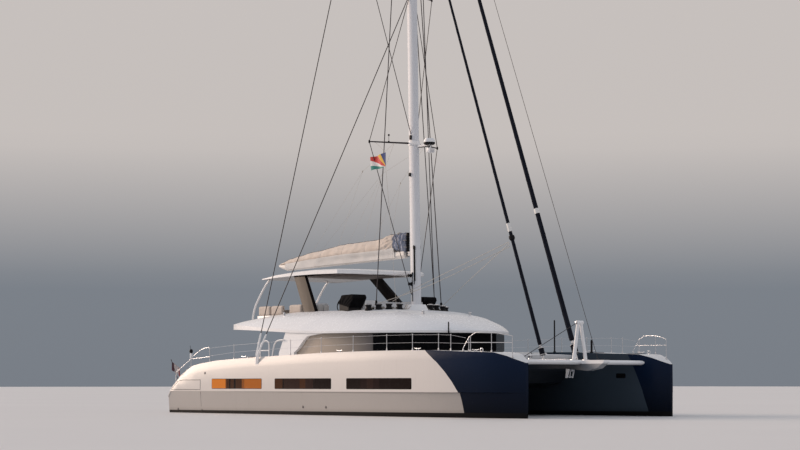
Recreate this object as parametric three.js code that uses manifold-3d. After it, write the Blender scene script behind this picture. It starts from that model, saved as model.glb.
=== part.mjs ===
// Sailing catamaran, 23 m long, at full size. Millimetres, +X forward, +Y port, +Z up.
// The origin is on the waterline, amidships, on the centreline.
// Each piece is a closed solid. Pieces that come in pairs are modelled on the port side and mirrored.
import * as THREE from "three";
import { mergeVertices } from "three/addons/utils/BufferGeometryUtils.js";
import Module from "manifold-3d";

const wasm = await Module();
wasm.setup();

// Driving dimensions
const BOW_X = 11600; // plumb stems
const STERN_X = -11600; // transoms
const HULL_AXIS_Y = 4100; // centreline of each hull
const INNER_FACE_Y = 3100; // inner face of a hull where the bridge deck meets it
const CHINE_Z = 970;
const BRIDGE_BOTTOM_Z = 1150;
const FLOOR_Z = 1950; // cockpits and saloon
const RIM_Z = 3500; // underside of the roof's rim at the front
const CEILING_Z = 3880;
const FLYBRIDGE_FLOOR_Z = 4000;
const KEEL_SOLE_Z = -1900;
const MAST_STEP = new THREE.Vector3(120, 0, 4880);
const MAST_TOP_Z = 35900;
const MAST_RAKE = THREE.MathUtils.degToRad(1.13); // aft
const CROSSBEAM_X = 10470;
const CROSSBEAM_Z = 2210;
const CROSSBEAM = { tall: 190, wide: 340 };
const GAP = 0.5; // between solids that touch

// Materials
const paint = (color, roughness = 0.35, metalness = 0) =>
  new THREE.MeshStandardMaterial({ color, roughness, metalness });
const WHITE = paint(0xdcd8d4);
const DECK = paint(0xc9c6c0, 0.7);
const ANTIFOUL = paint(0x0c0d10, 0.8);
const GLASS = paint(0x0b0d0f, 0.08);
const SPAR = paint(0xe4e3e6, 0.3, 0.2);
const STEEL = paint(0xb9bcc0, 0.25, 0.9);
const ROD = paint(0x2a2428, 0.45, 0.5);
const SAIL = paint(0x14161c, 0.85);
const CANVAS = paint(0xc9bcae, 0.9);
const CUSHION = paint(0xb8a898, 0.95);
const BLACK = paint(0x111214, 0.6);
const BRONZE = paint(0x9a7a45, 0.4, 0.9);
const TEAK = paint(0x8a6a48, 0.7);

const root = new THREE.Group();

// Solids
const vec = (p) => (p.isVector3 ? p : new THREE.Vector3(...p));

function solid(geometry) {
  const bare = geometry.clone();
  bare.deleteAttribute("normal");
  bare.deleteAttribute("uv");
  const merged = mergeVertices(bare, 1e-3);
  return new wasm.Manifold(
    new wasm.Mesh({
      numProp: 3,
      vertProperties: merged.attributes.position.array,
      triVerts: new Uint32Array(merged.index.array),
    }),
  );
}

function geometryOf(made) {
  const mesh = made.getMesh();
  const geometry = new THREE.BufferGeometry();
  geometry.setAttribute("position", new THREE.BufferAttribute(mesh.vertProperties, 3));
  geometry.setIndex(new THREE.BufferAttribute(mesh.triVerts, 1));
  geometry.computeVertexNormals();
  return geometry;
}

const join = (first, ...rest) => rest.reduce((sum, next) => sum.add(next), first);

function block(x0, x1, y0, y1, z0, z1) {
  const box = new THREE.BoxGeometry(x1 - x0, y1 - y0, z1 - z0);
  return solid(box.translate((x0 + x1) / 2, (y0 + y1) / 2, (z0 + z1) / 2));
}

// Straight round bar, or a cone, between two points
function bar(from, to, radius, sides = 12, endRadius = radius) {
  const a = vec(from);
  const b = vec(to);
  const shape = new THREE.CylinderGeometry(endRadius, radius, a.distanceTo(b), sides);
  const turn = new THREE.Quaternion().setFromUnitVectors(
    new THREE.Vector3(0, 1, 0),
    b.clone().sub(a).normalize(),
  );
  return solid(shape.applyQuaternion(turn).translate(...a.clone().lerp(b, 0.5).toArray()));
}

// Bars through a row of points, with a ball at each bend
function railing(points, radius, sides = 8) {
  const parts = [];
  points.forEach((p, i) => {
    if (i) parts.push(bar(points[i - 1], p, radius, sides));
    if (i && i < points.length - 1) {
      parts.push(solid(new THREE.IcosahedronGeometry(radius * 1.08, 0).translate(...p)));
    }
  });
  return join(...parts);
}

// Smooth round tube through a row of points
function tube(points, radius, sides, steps) {
  const turns = [...Array(sides).keys()].map((i) => (i * 2 * Math.PI) / sides);
  const circle = turns.map((turn) => [radius * Math.cos(turn), radius * Math.sin(turn)]);
  const extrudePath = new THREE.CatmullRomCurve3(points.map(vec));
  return solid(new THREE.ExtrudeGeometry(shapeOf(circle), { steps, bevelEnabled: false, extrudePath }));
}

function shapeOf(outline) {
  return new THREE.Shape(outline.map(([a, b]) => new THREE.Vector2(a, b)));
}

// An outline of [x, y] pairs, extruded upwards
function plate(outline, z0, z1) {
  const options = { depth: z1 - z0, bevelEnabled: false };
  return solid(new THREE.ExtrudeGeometry(shapeOf(outline), options).translate(0, 0, z0));
}

// An outline of [x, z] pairs, extruded across the boat
function profile(outline, y0, y1) {
  const options = { depth: y1 - y0, bevelEnabled: false };
  const made = new THREE.ExtrudeGeometry(shapeOf(outline), options);
  return solid(made.rotateX(Math.PI / 2).translate(0, y1, 0));
}

// Closed skin through rings of points that all have the same count, with a flat fan at each end
function loft(rings) {
  const count = rings[0].length;
  const last = (rings.length - 1) * count;
  const middle = (ring) => [0, 1, 2].map((axis) => ring.reduce((sum, p) => sum + p[axis], 0) / count);
  const points = [...rings.flat(), middle(rings[0]), middle(rings.at(-1))];
  const faces = [];
  for (let i = 0; i < count; i++) {
    const next = (i + 1) % count;
    for (let start = 0; start < last; start += count) {
      faces.push([start + i, start + next, start + count + i]);
      faces.push([start + next, start + count + next, start + count + i]);
    }
    faces.push([next, i, last + count]);
    faces.push([last + i, last + next, last + count + 1]);
  }
  const volume = faces.reduce((sum, face) => {
    const [a, b, c] = face.map((i) => vec(points[i]));
    return sum + a.dot(b.clone().cross(c));
  }, 0);
  const geometry = new THREE.BufferGeometry();
  geometry.setAttribute("position", new THREE.Float32BufferAttribute(points.flat(), 3));
  geometry.setIndex(faces.flatMap(([a, b, c]) => (volume > 0 ? [a, b, c] : [a, c, b])));
  return solid(geometry);
}

// Nodes
function add(name, made, material) {
  const mesh = new THREE.Mesh(geometryOf(made), material);
  mesh.name = name;
  root.add(mesh);
  return made;
}

function mirrored(made) {
  const geometry = geometryOf(made).scale(1, -1, 1);
  const index = geometry.index.array;
  for (let i = 0; i < index.length; i += 3) {
    [index[i + 1], index[i + 2]] = [index[i + 2], index[i + 1]];
  }
  return solid(geometry);
}

function addPair(name, made, material) {
  add(name + "_port", made, material);
  add(name + "_starboard", mirrored(made), material);
}

const largest = (made) =>
  made.decompose().reduce((best, next) => (next.volume() > best.volume() ? next : best));

// A solid's own shape and copies moved a little each way, to cut a neighbour with a gap
const moved = (made, x, y, z) => solid(geometryOf(made).translate(x, y, z));
const grown = (made, ...shifts) => join(made, ...shifts.map((s) => moved(made, ...s)));

// Hulls: x, bottom z, outer and inner half-beam at the waterline, outer half-beam, bevel inset,
// inner half-beam, deck z
const HULL_STATIONS = [
  [STERN_X, -120, 1210, 780, 1290, 70, 1000, 950],
  [-11400, -150, 1210, 790, 1290, 90, 1000, 1230],
  [-10750, -240, 1210, 810, 1290, 140, 1000, 1750],
  [-9920, -340, 1205, 830, 1290, 190, 1000, 2160],
  [-9300, -430, 1200, 840, 1290, 210, 1000, 2270],
  [-8000, -600, 1190, 850, 1290, 220, 1000, 2400],
  [-6000, -780, 1170, 860, 1290, 220, 1000, 2490],
  [-3000, -930, 1150, 870, 1290, 220, 1000, 2580],
  [0, -980, 1130, 870, 1290, 220, 1000, 2665],
  [3000, -980, 1080, 850, 1280, 220, 1000, 2700],
  [5000, -940, 1000, 800, 1245, 215, 1000, 2705],
  [6950, -870, 860, 700, 1165, 200, 1000, 2690],
  [8000, -810, 740, 610, 1080, 170, 965, 2650],
  [9000, -740, 590, 500, 965, 130, 890, 2610],
  [9800, -680, 450, 385, 840, 95, 800, 2590],
  [10400, -620, 330, 290, 700, 70, 680, 2560],
  [10900, -550, 220, 200, 500, 45, 490, 2430],
  [11300, -470, 120, 115, 280, 25, 275, 2270],
  [BOW_X, -380, 45, 45, 70, 8, 70, 2150],
];
const BEVEL_DROP = 450; // from the deck edge down to the foot of the bevel
const BILGE_STEPS = 5;

function hullRing([x, bottom, waterOut, waterIn, outer, bevel, inner, deck]) {
  const foot = Math.max(deck - Math.min(BEVEL_DROP, 2.1 * bevel + 10), 700);
  const chine = Math.min(CHINE_Z, foot - 80);
  const chineOut = outer - (outer - waterOut) * 0.25;
  const middle = (waterOut - waterIn) / 2;
  const half = (waterOut + waterIn) / 2;
  const bilge = [];
  for (let i = -BILGE_STEPS; i <= BILGE_STEPS; i++) {
    const turn = ((i / BILGE_STEPS) * Math.PI) / 2;
    const reach = Math.sign(i) * Math.abs(Math.sin(turn)) ** 0.8;
    bilge.push([middle + half * reach, bottom * Math.cos(turn) ** 0.9]);
  }
  const outerSide = [[chineOut, chine], [outer, chine + 30], [outer, foot], [outer - bevel, deck]];
  const innerSide = [[-inner, deck], [-inner, Math.min(1000, chine + 30)]];
  return [...bilge, ...outerSide, ...innerSide].map(([y, z]) => [x, HULL_AXIS_Y + y, z]);
}

// Stairs down to the water, cut into the aft end of each hull
const STAIR = {
  innerY: INNER_FACE_Y - 100,
  outerY: 4950,
  firstX: -10900,
  tread: 330,
  firstZ: 450,
  rise: 300,
};
const STAIR_STEPS = 5;

function stairCut() {
  const cuts = [block(STERN_X - 100, STAIR.firstX, STAIR.innerY, STAIR.outerY, STAIR.firstZ, 3000)];
  for (let i = 1; i <= STAIR_STEPS; i++) {
    const x = STAIR.firstX + i * STAIR.tread;
    const end = i === STAIR_STEPS ? x + 500 : x;
    const z = STAIR.firstZ + i * STAIR.rise;
    cuts.push(block(x - STAIR.tread - 1, end, STAIR.innerY, STAIR.outerY, z, 3000));
  }
  return join(...cuts);
}

// Engine room under a hinged hatch in each side deck
const ENGINE_ROOM = { x0: -8300, x1: -6500, y0: 3400, y1: 4800, z0: -250, z1: 2150 };
const HATCH = { x0: -8000, x1: -6900, y0: 3650, y1: 4650, thickness: 60, clearance: 8 };
const hatchDeckZ = (x) => 2400 + ((x + 8000) / 2000) * 90;

function engineRoomCut() {
  const room = ENGINE_ROOM;
  const well = block(HATCH.x0, HATCH.x1, HATCH.y0, HATCH.y1, room.z1 - 10, 2700);
  return block(room.x0, room.x1, room.y0, room.y1, room.z0, room.z1).add(well);
}

// Propeller shaft, sloping down aft
const SHAFT_ANGLE = THREE.MathUtils.degToRad(8);
const SHAFT_AFT = new THREE.Vector3(-9450, HULL_AXIS_Y, -860);
const shaftPoint = (along) =>
  SHAFT_AFT.clone().add(
    new THREE.Vector3(Math.cos(SHAFT_ANGLE), 0, Math.sin(SHAFT_ANGLE)).multiplyScalar(along),
  );
const SHAFT_RADIUS = 35;
const SHAFT_LENGTH = 2300;

// Rudder stock
const RUDDER_X = -10450;
const STOCK_RADIUS = 60;
const STOCK_TOP_Z = 150;

const bareHull = loft(HULL_STATIONS.map(hullRing));
const hull = bareHull
  .subtract(stairCut())
  .subtract(engineRoomCut())
  .subtract(bar(shaftPoint(300), shaftPoint(SHAFT_LENGTH + 60), SHAFT_RADIUS + 10, 16))
  .subtract(
    bar([RUDDER_X, HULL_AXIS_Y, -600], [RUDDER_X, HULL_AXIS_Y, STOCK_TOP_Z + 20], STOCK_RADIUS + 8, 16),
  );
addPair("hull", hull, WHITE);

// Low fin keels, with flat soles to dry out on: z, leading x, trailing x, thickness
const KEEL_SECTIONS = [
  [KEEL_SOLE_Z, 1900, -2300, 330],
  [-1400, 2250, -2500, 420],
  [-600, 2600, -2700, 500],
];
const FOIL_STEPS = 8;

function foilRing(z, leading, trailing, thickness, y = HULL_AXIS_Y) {
  const chord = leading - trailing;
  const side = (share) => {
    const t = 1 - share;
    return (thickness / 2) * 2.6 * (Math.sqrt(t) * share) ** 0.75 * 0.86;
  };
  const ring = [];
  for (let i = 0; i <= FOIL_STEPS; i++) {
    const share = (1 - Math.cos((i / FOIL_STEPS) * Math.PI)) / 2; // 0 at the trailing edge
    ring.push([trailing + chord * share, y + Math.max(side(share), 4), z]);
  }
  const back = ring.map(([x, py]) => [x, 2 * y - py, z]).reverse();
  return [...ring.reverse(), ...back.reverse()];
}

const keel = loft(KEEL_SECTIONS.map((s) => foilRing(...s))).subtract(
  grown(bareHull, [0, 0, -GAP]),
);
addPair("keel", keel, ANTIFOUL);

// Rudders: z, leading x, trailing x, thickness
const RUDDER_SECTIONS = [
  [-1500, -10220, -10900, 80],
  [-900, -10190, -11030, 120],
  [-360, -10180, -11080, 150],
];
const rudderBlade = loft(RUDDER_SECTIONS.map((s) => foilRing(...s)));
const rudderStock = bar(
  [RUDDER_X, HULL_AXIS_Y, -500],
  [RUDDER_X, HULL_AXIS_Y, STOCK_TOP_Z],
  STOCK_RADIUS,
  16,
);
addPair("rudder", rudderBlade.add(rudderStock), ANTIFOUL);

// Propellers: a hub and blades of twisted plates
const PROPELLER = { radius: 330, hub: 75, hubLength: 220, blades: 4 };

function propeller() {
  const hub = solid(
    new THREE.CylinderGeometry(
      PROPELLER.hub * 0.55,
      PROPELLER.hub,
      PROPELLER.hubLength,
      16,
    ).rotateZ(Math.PI / 2),
  );
  const blades = [];
  for (let i = 0; i < PROPELLER.blades; i++) {
    const blade = loft(
      [
        [40, 60, 62, 16], // radius, half chord, pitch angle, half thickness
        [140, 115, 45, 12],
        [230, 135, 34, 8],
        [PROPELLER.radius, 60, 27, 4],
      ].map(([radius, half, pitch, thick]) => {
        const turn = THREE.MathUtils.degToRad(pitch);
        return [
          [-half, 0],
          [0, -thick],
          [half, 0],
          [0, thick],
        ].map(([along, off]) => [
          along * Math.sin(turn) - off * Math.cos(turn),
          along * Math.cos(turn) + off * Math.sin(turn),
          radius,
        ]);
      }),
    );
    const turned = geometryOf(blade).rotateX((i * 2 * Math.PI) / PROPELLER.blades);
    blades.push(solid(turned));
  }
  const whole = geometryOf(join(hub, ...blades));
  const centre = shaftPoint(-PROPELLER.hubLength / 2 + 60);
  return solid(whole.rotateY(-SHAFT_ANGLE).translate(...centre.toArray()));
}
const shaft = bar(shaftPoint(40), shaftPoint(SHAFT_LENGTH), SHAFT_RADIUS, 16);
addPair("propeller", propeller().add(shaft), BRONZE);

// Struts that carry the shafts
const STRUT_ALONG = 330;
const strutBarrel = bar(shaftPoint(STRUT_ALONG - 110), shaftPoint(STRUT_ALONG + 110), 62, 16);
const strutFin = loft([
  foilRing(shaftPoint(STRUT_ALONG).z, shaftPoint(STRUT_ALONG).x + 110, shaftPoint(STRUT_ALONG).x - 110, 40),
  foilRing(-300, shaftPoint(STRUT_ALONG).x + 190, shaftPoint(STRUT_ALONG).x - 90, 50),
]).subtract(grown(hull, [0, 0, -GAP]));
const strut = strutBarrel
  .add(strutFin)
  .subtract(bar(shaftPoint(0), shaftPoint(700), SHAFT_RADIUS + 6, 16));
addPair("shaft_strut", strut, BRONZE);

// Engines: plain blocks in the engine rooms, on two bearers
const ENGINE = { x0: -8050, x1: -6850, halfWidth: 400, z0: -150, z1: 750 };
const engine = join(
  block(
    ENGINE.x0,
    ENGINE.x1,
    HULL_AXIS_Y - ENGINE.halfWidth,
    HULL_AXIS_Y + ENGINE.halfWidth,
    ENGINE.z0,
    ENGINE.z1,
  ),
  block(ENGINE.x0 + 100, ENGINE.x1 - 100, 3750, 3850, ENGINE_ROOM.z0 + GAP, ENGINE.z0 + 10),
  block(ENGINE.x0 + 100, ENGINE.x1 - 100, 4350, 4450, ENGINE_ROOM.z0 + GAP, ENGINE.z0 + 10),
);
addPair("engine", engine, STEEL);

// Engine room hatches, hinged at their forward edges
const hatchClear = HATCH.clearance;
const hatch = profile(
  [
    [HATCH.x0 + hatchClear, hatchDeckZ(HATCH.x0) - HATCH.thickness],
    [HATCH.x1 - hatchClear, hatchDeckZ(HATCH.x1) - HATCH.thickness],
    [HATCH.x1 - hatchClear, hatchDeckZ(HATCH.x1)],
    [HATCH.x0 + hatchClear, hatchDeckZ(HATCH.x0)],
  ],
  HATCH.y0 + hatchClear,
  HATCH.y1 - hatchClear,
);
addPair("engine_hatch", hatch, DECK);

// Bridge deck between the hulls, with the aft cockpit, saloon floor and forward cockpit on it
const BRIDGE_OUTLINE = [
  [-9600, BRIDGE_BOTTOM_Z],
  [5000, BRIDGE_BOTTOM_Z],
  [6100, 1380],
  [6800, 1900],
  [6940, 2300],
  [6940, 2560],
  [6150, 2600],
  [6150, FLOOR_Z],
  [-9600, FLOOR_Z],
];
const bridge = profile(BRIDGE_OUTLINE, -(INNER_FACE_Y - GAP), INNER_FACE_Y - GAP);
add("bridge_deck", bridge, WHITE);

// The roof and the saloon share one plan: straight sides, then half an ellipse at the front
const PLAN = { centreX: -1600, reachX: 6420, reachY: 4150 };

function planOutline(inset, aftX, degrees) {
  const front = degrees.map((d) => {
    const turn = THREE.MathUtils.degToRad(d);
    return [
      PLAN.centreX + (PLAN.reachX - inset) * Math.cos(turn),
      (PLAN.reachY - inset) * Math.sin(turn),
    ];
  });
  return [[aftX, -(PLAN.reachY - inset)], ...front, [aftX, PLAN.reachY - inset]];
}

// Saloon walls in flat facets between these directions. The facets ahead of the sides have windows.
const FACETS = [-90, -62, -37, -13, 13, 37, 62, 90];
const WALL = { inset: 250, thick: 80, aftX: -3700 };
const SILL_Z = 2830;
const HEAD_Z = 3410;
const MULLION = 160;

function band(insetOut, insetIn, aftX, z0, z1) {
  return plate(planOutline(insetOut, aftX, FACETS), z0, z1).subtract(
    plate(planOutline(insetIn, aftX - 10, FACETS), z0 - 10, z1 + 10),
  );
}

function windowCuts() {
  const corners = planOutline(WALL.inset, WALL.aftX, FACETS).slice(2, -2);
  const cuts = corners.slice(1).map((to, i) => {
    const from = corners[i];
    const length = Math.hypot(to[0] - from[0], to[1] - from[1]);
    const cut = new THREE.BoxGeometry(length - MULLION, 400, HEAD_Z - SILL_Z);
    cut.rotateZ(Math.atan2(to[1] - from[1], to[0] - from[0]));
    return solid(cut.translate((from[0] + to[0]) / 2, (from[1] + to[1]) / 2, (SILL_Z + HEAD_Z) / 2));
  });
  return join(...cuts);
}

// Roof with the flybridge, by station:
// x, half-beam, rim z, height of the rim's face, crown z, fullness of the shoulders
const ROOF_AFT = [
  [-10300, 2000, 3905, 230, 4235, 6],
  [-10150, 2600, 3900, 240, 4245, 6],
  [-9730, 2980, 3890, 240, 4275, 6],
  [-9010, 3450, 3870, 230, 4325, 6.5],
  [-8200, 3780, 3845, 210, 4390, 7],
  [-6500, 4080, 3770, 160, 4550, 7],
  [-5000, 4150, 3690, 130, 4650, 7],
  [-3600, 4150, 3610, 110, 4700, 6],
  [-1600, 4150, 3540, 90, 4730, 5],
];
const ROOF_FRONT_DEGREES = [77, 64, 51, 39, 28, 18, 9, 3];
const RIM = 90; // height of the rim's face at the front
const FRONT_FULLNESS = 4;
const CROWN_HEIGHT = 1080;
const SIDE_STEPS = 9;

function roofRing([x, half, rim, face, crown, fullness]) {
  const upper = [];
  for (let i = 0; i <= SIDE_STEPS * 2; i++) {
    const share = Math.cos((i / (SIDE_STEPS * 2)) * Math.PI);
    const rise = 1 - Math.abs(share) ** fullness;
    upper.push([x, half * share, rim + face + Math.max(crown - rim - face, 5) * rise]);
  }
  return [[x, -half, rim], [x, half, rim], ...upper];
}

function roofStations() {
  const front = ROOF_FRONT_DEGREES.map((d) => {
    const turn = THREE.MathUtils.degToRad(d);
    const ahead = Math.cos(turn);
    return [
      PLAN.centreX + PLAN.reachX * ahead,
      PLAN.reachY * Math.sin(turn),
      RIM_Z + 40 * (1 - ahead),
      RIM,
      RIM_Z + RIM + CROWN_HEIGHT * (1 - ahead ** 2.6),
      FRONT_FULLNESS,
    ];
  });
  return [...ROOF_AFT, ...front];
}

const WELL = { x0: -8450, x1: -750, halfY: 2800 };
const flybridgeWell = plate(
  [
    [WELL.x0, -WELL.halfY + 300],
    [WELL.x0 + 300, -WELL.halfY],
    [WELL.x1 - 500, -WELL.halfY],
    [WELL.x1, -WELL.halfY + 500],
    [WELL.x1, WELL.halfY - 500],
    [WELL.x1 - 500, WELL.halfY],
    [WELL.x0 + 300, WELL.halfY],
    [WELL.x0, WELL.halfY - 300],
  ],
  FLYBRIDGE_FLOOR_Z,
  6000,
);
const saloonCeiling = plate(planOutline(600, WALL.aftX + 100, FACETS), 3300, CEILING_Z);
const FLY_STAIR = { x0: -6400, x1: -4600, y0: 1700, y1: 2600 }; // stairway down to the aft cockpit
const WINCH_BLOCK = { x0: -2050, x1: -1400, y0: 950, y1: 1680, z1: 5030 };
const FLY_FRONT = { x0: -1560, x1: -1440, z1: 4990 }; // low wall between the winch blocks
const winchBlock = block(
  WINCH_BLOCK.x0,
  WINCH_BLOCK.x1,
  WINCH_BLOCK.y0,
  WINCH_BLOCK.y1,
  FLYBRIDGE_FLOOR_Z - 50,
  WINCH_BLOCK.z1,
);
const flyFront = block(
  FLY_FRONT.x0,
  FLY_FRONT.x1,
  -WINCH_BLOCK.y0 - 20,
  WINCH_BLOCK.y0 + 20,
  FLYBRIDGE_FLOOR_Z - 50,
  FLY_FRONT.z1,
);
const roof = loft(roofStations().map(roofRing))
  .subtract(flybridgeWell)
  .subtract(saloonCeiling)
  .subtract(block(FLY_STAIR.x0, FLY_STAIR.x1, FLY_STAIR.y0, FLY_STAIR.y1, 3000, 5000))
  .add(join(winchBlock, mirrored(winchBlock), flyFront))
  .add(bar([MAST_STEP.x, 0, 4500], [MAST_STEP.x, 0, MAST_STEP.z - 30], 620, 24, 430));
add("roof_and_flybridge", roof, WHITE);
const roofBothWays = join(roof, mirrored(roof));
const roofLowered = grown(roofBothWays, [0, 0, -GAP]);

const hullWithGap = grown(hull, [0, -GAP, 0], [0, 0, GAP]);
const bothHulls = join(hullWithGap, mirrored(hullWithGap));
const DOOR = { y0: -2400, y1: 2400, z1: 3440 };
const WALL_CUT_Z = 3800; // the walls are raised this far, then cut to the roof's underside
const ringWall = band(WALL.inset, WALL.inset + WALL.thick, WALL.aftX, FLOOR_Z + GAP, WALL_CUT_Z);
const aftWall = block(WALL.aftX, WALL.aftX + WALL.thick, -3890, 3890, FLOOR_Z + GAP, WALL_CUT_Z).subtract(
  block(WALL.aftX - 100, WALL.aftX + 300, DOOR.y0, DOOR.y1, FLOOR_Z - 10, DOOR.z1),
);
const header = block(WALL.aftX, WALL.aftX + WALL.thick, DOOR.y0 - 10, DOOR.y1 + 10, DOOR.z1, WALL_CUT_Z);
const walls = join(ringWall, aftWall, header)
  .subtract(windowCuts())
  .subtract(bothHulls)
  .subtract(roofLowered);
add("saloon_walls", largest(walls), WHITE);

// Dark glass bonded over the walls: the front, and a pane at each side
const GLASS_AFT_X = 1330;
const GLASS_SPLIT_X = 3300;
const glassBand = band(WALL.inset - 16, WALL.inset - GAP, WALL.aftX, SILL_Z - 60, HEAD_Z + 55);
add("saloon_glass_front", glassBand.intersect(block(GLASS_SPLIT_X + 3, 9000, -5000, 5000, 0, 9000)), GLASS);
const sideGlass = glassBand.intersect(block(GLASS_AFT_X, GLASS_SPLIT_X - 3, 100, 5000, 0, 9000));
addPair("saloon_glass", sideGlass, GLASS);

// Aft door of the saloon: a fixed leaf and a leaf that slides past it
const DOOR_LEAF = 45;
const doorX = WALL.aftX - 20;
add(
  "door_fixed_leaf",
  block(WALL.aftX + 20, WALL.aftX + 20 + DOOR_LEAF, DOOR.y0 + GAP, -30, FLOOR_Z + GAP, DOOR.z1 - GAP),
  GLASS,
);
add(
  "door_sliding_leaf",
  block(doorX - DOOR_LEAF, doorX, -80, DOOR.y1 + 60, FLOOR_Z + 8, DOOR.z1 + 20),
  GLASS,
);

// Swept fins between the roof's sides and the side decks
const finOutline = [
  [-4590, 2400],
  [-3460, 2400],
  [-3460, 2730],
  [-3200, 2880],
  [-3000, 3050],
  [-2760, 3270],
  [-2460, 3440],
  [-1550, 3530],
  [-1550, 3700],
  [-4060, 3700],
  [-4590, 2720],
];
const fin = profile(finOutline, 3925, 4095)
  .subtract(bothHulls)
  .subtract(roofLowered);
addPair("side_fin", largest(fin), WHITE);

// Ladder from the aft cockpit to the flybridge
const LADDER_STEPS = 7;
const ladderParts = [];
for (let i = 0; i < LADDER_STEPS; i++) {
  const x = -6560 + i * 270;
  const z = FLOOR_Z + 260 + i * 255;
  ladderParts.push(block(x, x + 300, FLY_STAIR.y0 + 60, FLY_STAIR.y1 - 60, z, z + 50));
}
for (const y of [FLY_STAIR.y0 + 20, FLY_STAIR.y1 - 60]) {
  ladderParts.push(
    profile(
      [
        [-6700, FLOOR_Z + GAP],
        [-6400, FLOOR_Z + GAP],
        [-4620, FLYBRIDGE_FLOOR_Z - 260],
        [-4620, FLYBRIDGE_FLOOR_Z - 20],
      ],
      y,
      y + 40,
    ),
  );
}
add("flybridge_stair", join(...ladderParts), TEAK);

// Hardtop: x, half-beam, bottom z, top z
const HARDTOP_STATIONS = [
  [-8600, 1950, 6215, 6270],
  [-8450, 2260, 6220, 6300],
  [-7200, 2400, 6265, 6410],
  [-5670, 2420, 6300, 6490],
  [-4340, 2420, 6310, 6520],
  [-2500, 2420, 6275, 6490],
  [-1800, 2050, 6250, 6450],
  [-1250, 1620, 6225, 6410],
  [-900, 1150, 6205, 6370],
  [-620, 600, 6195, 6310],
];
const hardtopRing = ([x, half, bottom, top]) => [
  [x, -half, bottom],
  [x, -half + 150, bottom + 15],
  [x, half - 150, bottom + 15],
  [x, half, bottom],
  [x, half, top - 35],
  [x, half - 160, top],
  [x, half * 0.45, top + 25],
  [x, -half * 0.45, top + 25],
  [x, -half + 160, top],
  [x, -half, top - 35],
];
const hardtop = loft(HARDTOP_STATIONS.map(hardtopRing));
add("hardtop", hardtop, WHITE);

// Curved struts at the hardtop's aft end, and broad raked pillars ahead of them
const STRUT_LINE = [
  [-9900, 1770, 4100],
  [-9820, 1770, 4600],
  [-9670, 1765, 5000],
  [-9410, 1760, 5360],
  [-9110, 1755, 5720],
  [-8740, 1750, 6090],
  [-8400, 1745, 6330],
];
const hardtopBothWays = join(hardtop, mirrored(hardtop));
const between = (made) =>
  largest(
    made
      .subtract(grown(roofBothWays, [0, 0, GAP], [0, -GAP, 0], [0, GAP, 0]))
      .subtract(grown(hardtopBothWays, [0, 0, -GAP])),
  );
addPair("hardtop_strut", between(tube(STRUT_LINE, 46, 10, 14)), SPAR);

const PILLAR_FOOT_Z = 4250;
const PILLAR_HEAD_Z = 6330;
const pillarRing = (x0, x1, y, z, thick) => [
  [x0, y - thick / 2, z],
  [(x0 + x1) / 2, y - thick * 0.62, z],
  [x1, y - thick / 2, z],
  [x1, y + thick / 2, z],
  [(x0 + x1) / 2, y + thick * 0.62, z],
  [x0, y + thick / 2, z],
];
const pillar = loft([
  pillarRing(-4010, -3210, 2900, PILLAR_FOOT_Z, 200),
  pillarRing(-5900, -5090, 2230, PILLAR_HEAD_Z, 160),
]);
addPair("hardtop_pillar", between(pillar), SPAR);

// Helm stations on the flybridge, one each side, and the wheels
const HELM = { y: 2070, tilt: THREE.MathUtils.degToRad(20) };
const HELM_OUTLINE = [
  [-2310, FLYBRIDGE_FLOOR_Z + GAP],
  [-1710, FLYBRIDGE_FLOOR_Z + GAP],
  [-1660, 4700],
  [-1340, 5150],
  [-1400, 5270],
  [-2110, 5250],
  [-2310, 4950],
];
const helmConsole = profile(HELM_OUTLINE, HELM.y - 360, HELM.y + 360);

const WHEEL = { radius: 360, rim: 16, x: -2450, z: 4870, spokes: 5 };
function helmWheel() {
  const parts = [solid(new THREE.TorusGeometry(WHEEL.radius, WHEEL.rim, 6, 28).rotateY(Math.PI / 2))];
  for (let i = 0; i < WHEEL.spokes; i++) {
    const turn = (i * 2 * Math.PI) / WHEEL.spokes;
    parts.push(bar([0, 0, 0], [0, WHEEL.radius * Math.cos(turn), WHEEL.radius * Math.sin(turn)], 11, 8));
  }
  parts.push(bar([-35, 0, 0], [250, 0, 0], 45, 16));
  const whole = geometryOf(join(...parts));
  return solid(whole.rotateY(HELM.tilt).translate(WHEEL.x, HELM.y, WHEEL.z));
}
const wheelHole = geometryOf(bar([40, 0, 0], [400, 0, 0], 55, 16))
  .rotateY(HELM.tilt)
  .translate(WHEEL.x, HELM.y, WHEEL.z);
addPair("helm_console", helmConsole.subtract(solid(wheelHole)), BLACK);
addPair("helm_wheel", helmWheel(), STEEL);

// Seats: a bench behind each wheel, the flybridge sofa and the cockpit sofa
const helmSeat = profile(
  [
    [-4010, FLYBRIDGE_FLOOR_Z + GAP],
    [-3460, FLYBRIDGE_FLOOR_Z + GAP],
    [-3410, 4560],
    [-3860, 4560],
    [-3940, 4990],
    [-4080, 4990],
    [-4010, 4500],
  ],
  HELM.y - 340,
  HELM.y + 340,
);
addPair("helm_seat", helmSeat, CUSHION);

const SOFA_Z = FLYBRIDGE_FLOOR_Z + GAP;
const flySofa = join(
  block(-8200, -4750, -2700, -1950, SOFA_Z, 4430),
  block(-8200, -6200, -2700, -2500, 4400, 4970),
  block(-5800, -4750, -2700, -2500, 4400, 4990),
  block(-8200, -7450, -2000, 1400, SOFA_Z, 4430),
  block(-8200, -8000, -2600, 1400, 4400, 4850),
);
add("flybridge_sofa", flySofa, CUSHION);

const cockpitSofa = join(
  block(-9580, -8800, -2300, 2300, FLOOR_Z + GAP, 2400),
  block(-9580, -9350, -2300, 2300, 2350, 2800),
);
add("cockpit_sofa", cockpitSofa, CUSHION);

// Mast: an oval section, raked aft
const MAST_SECTION = { chord: 580, width: 340, sides: 20 };
const mastX = (z) => MAST_STEP.x - Math.tan(MAST_RAKE) * (z - MAST_STEP.z);

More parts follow.
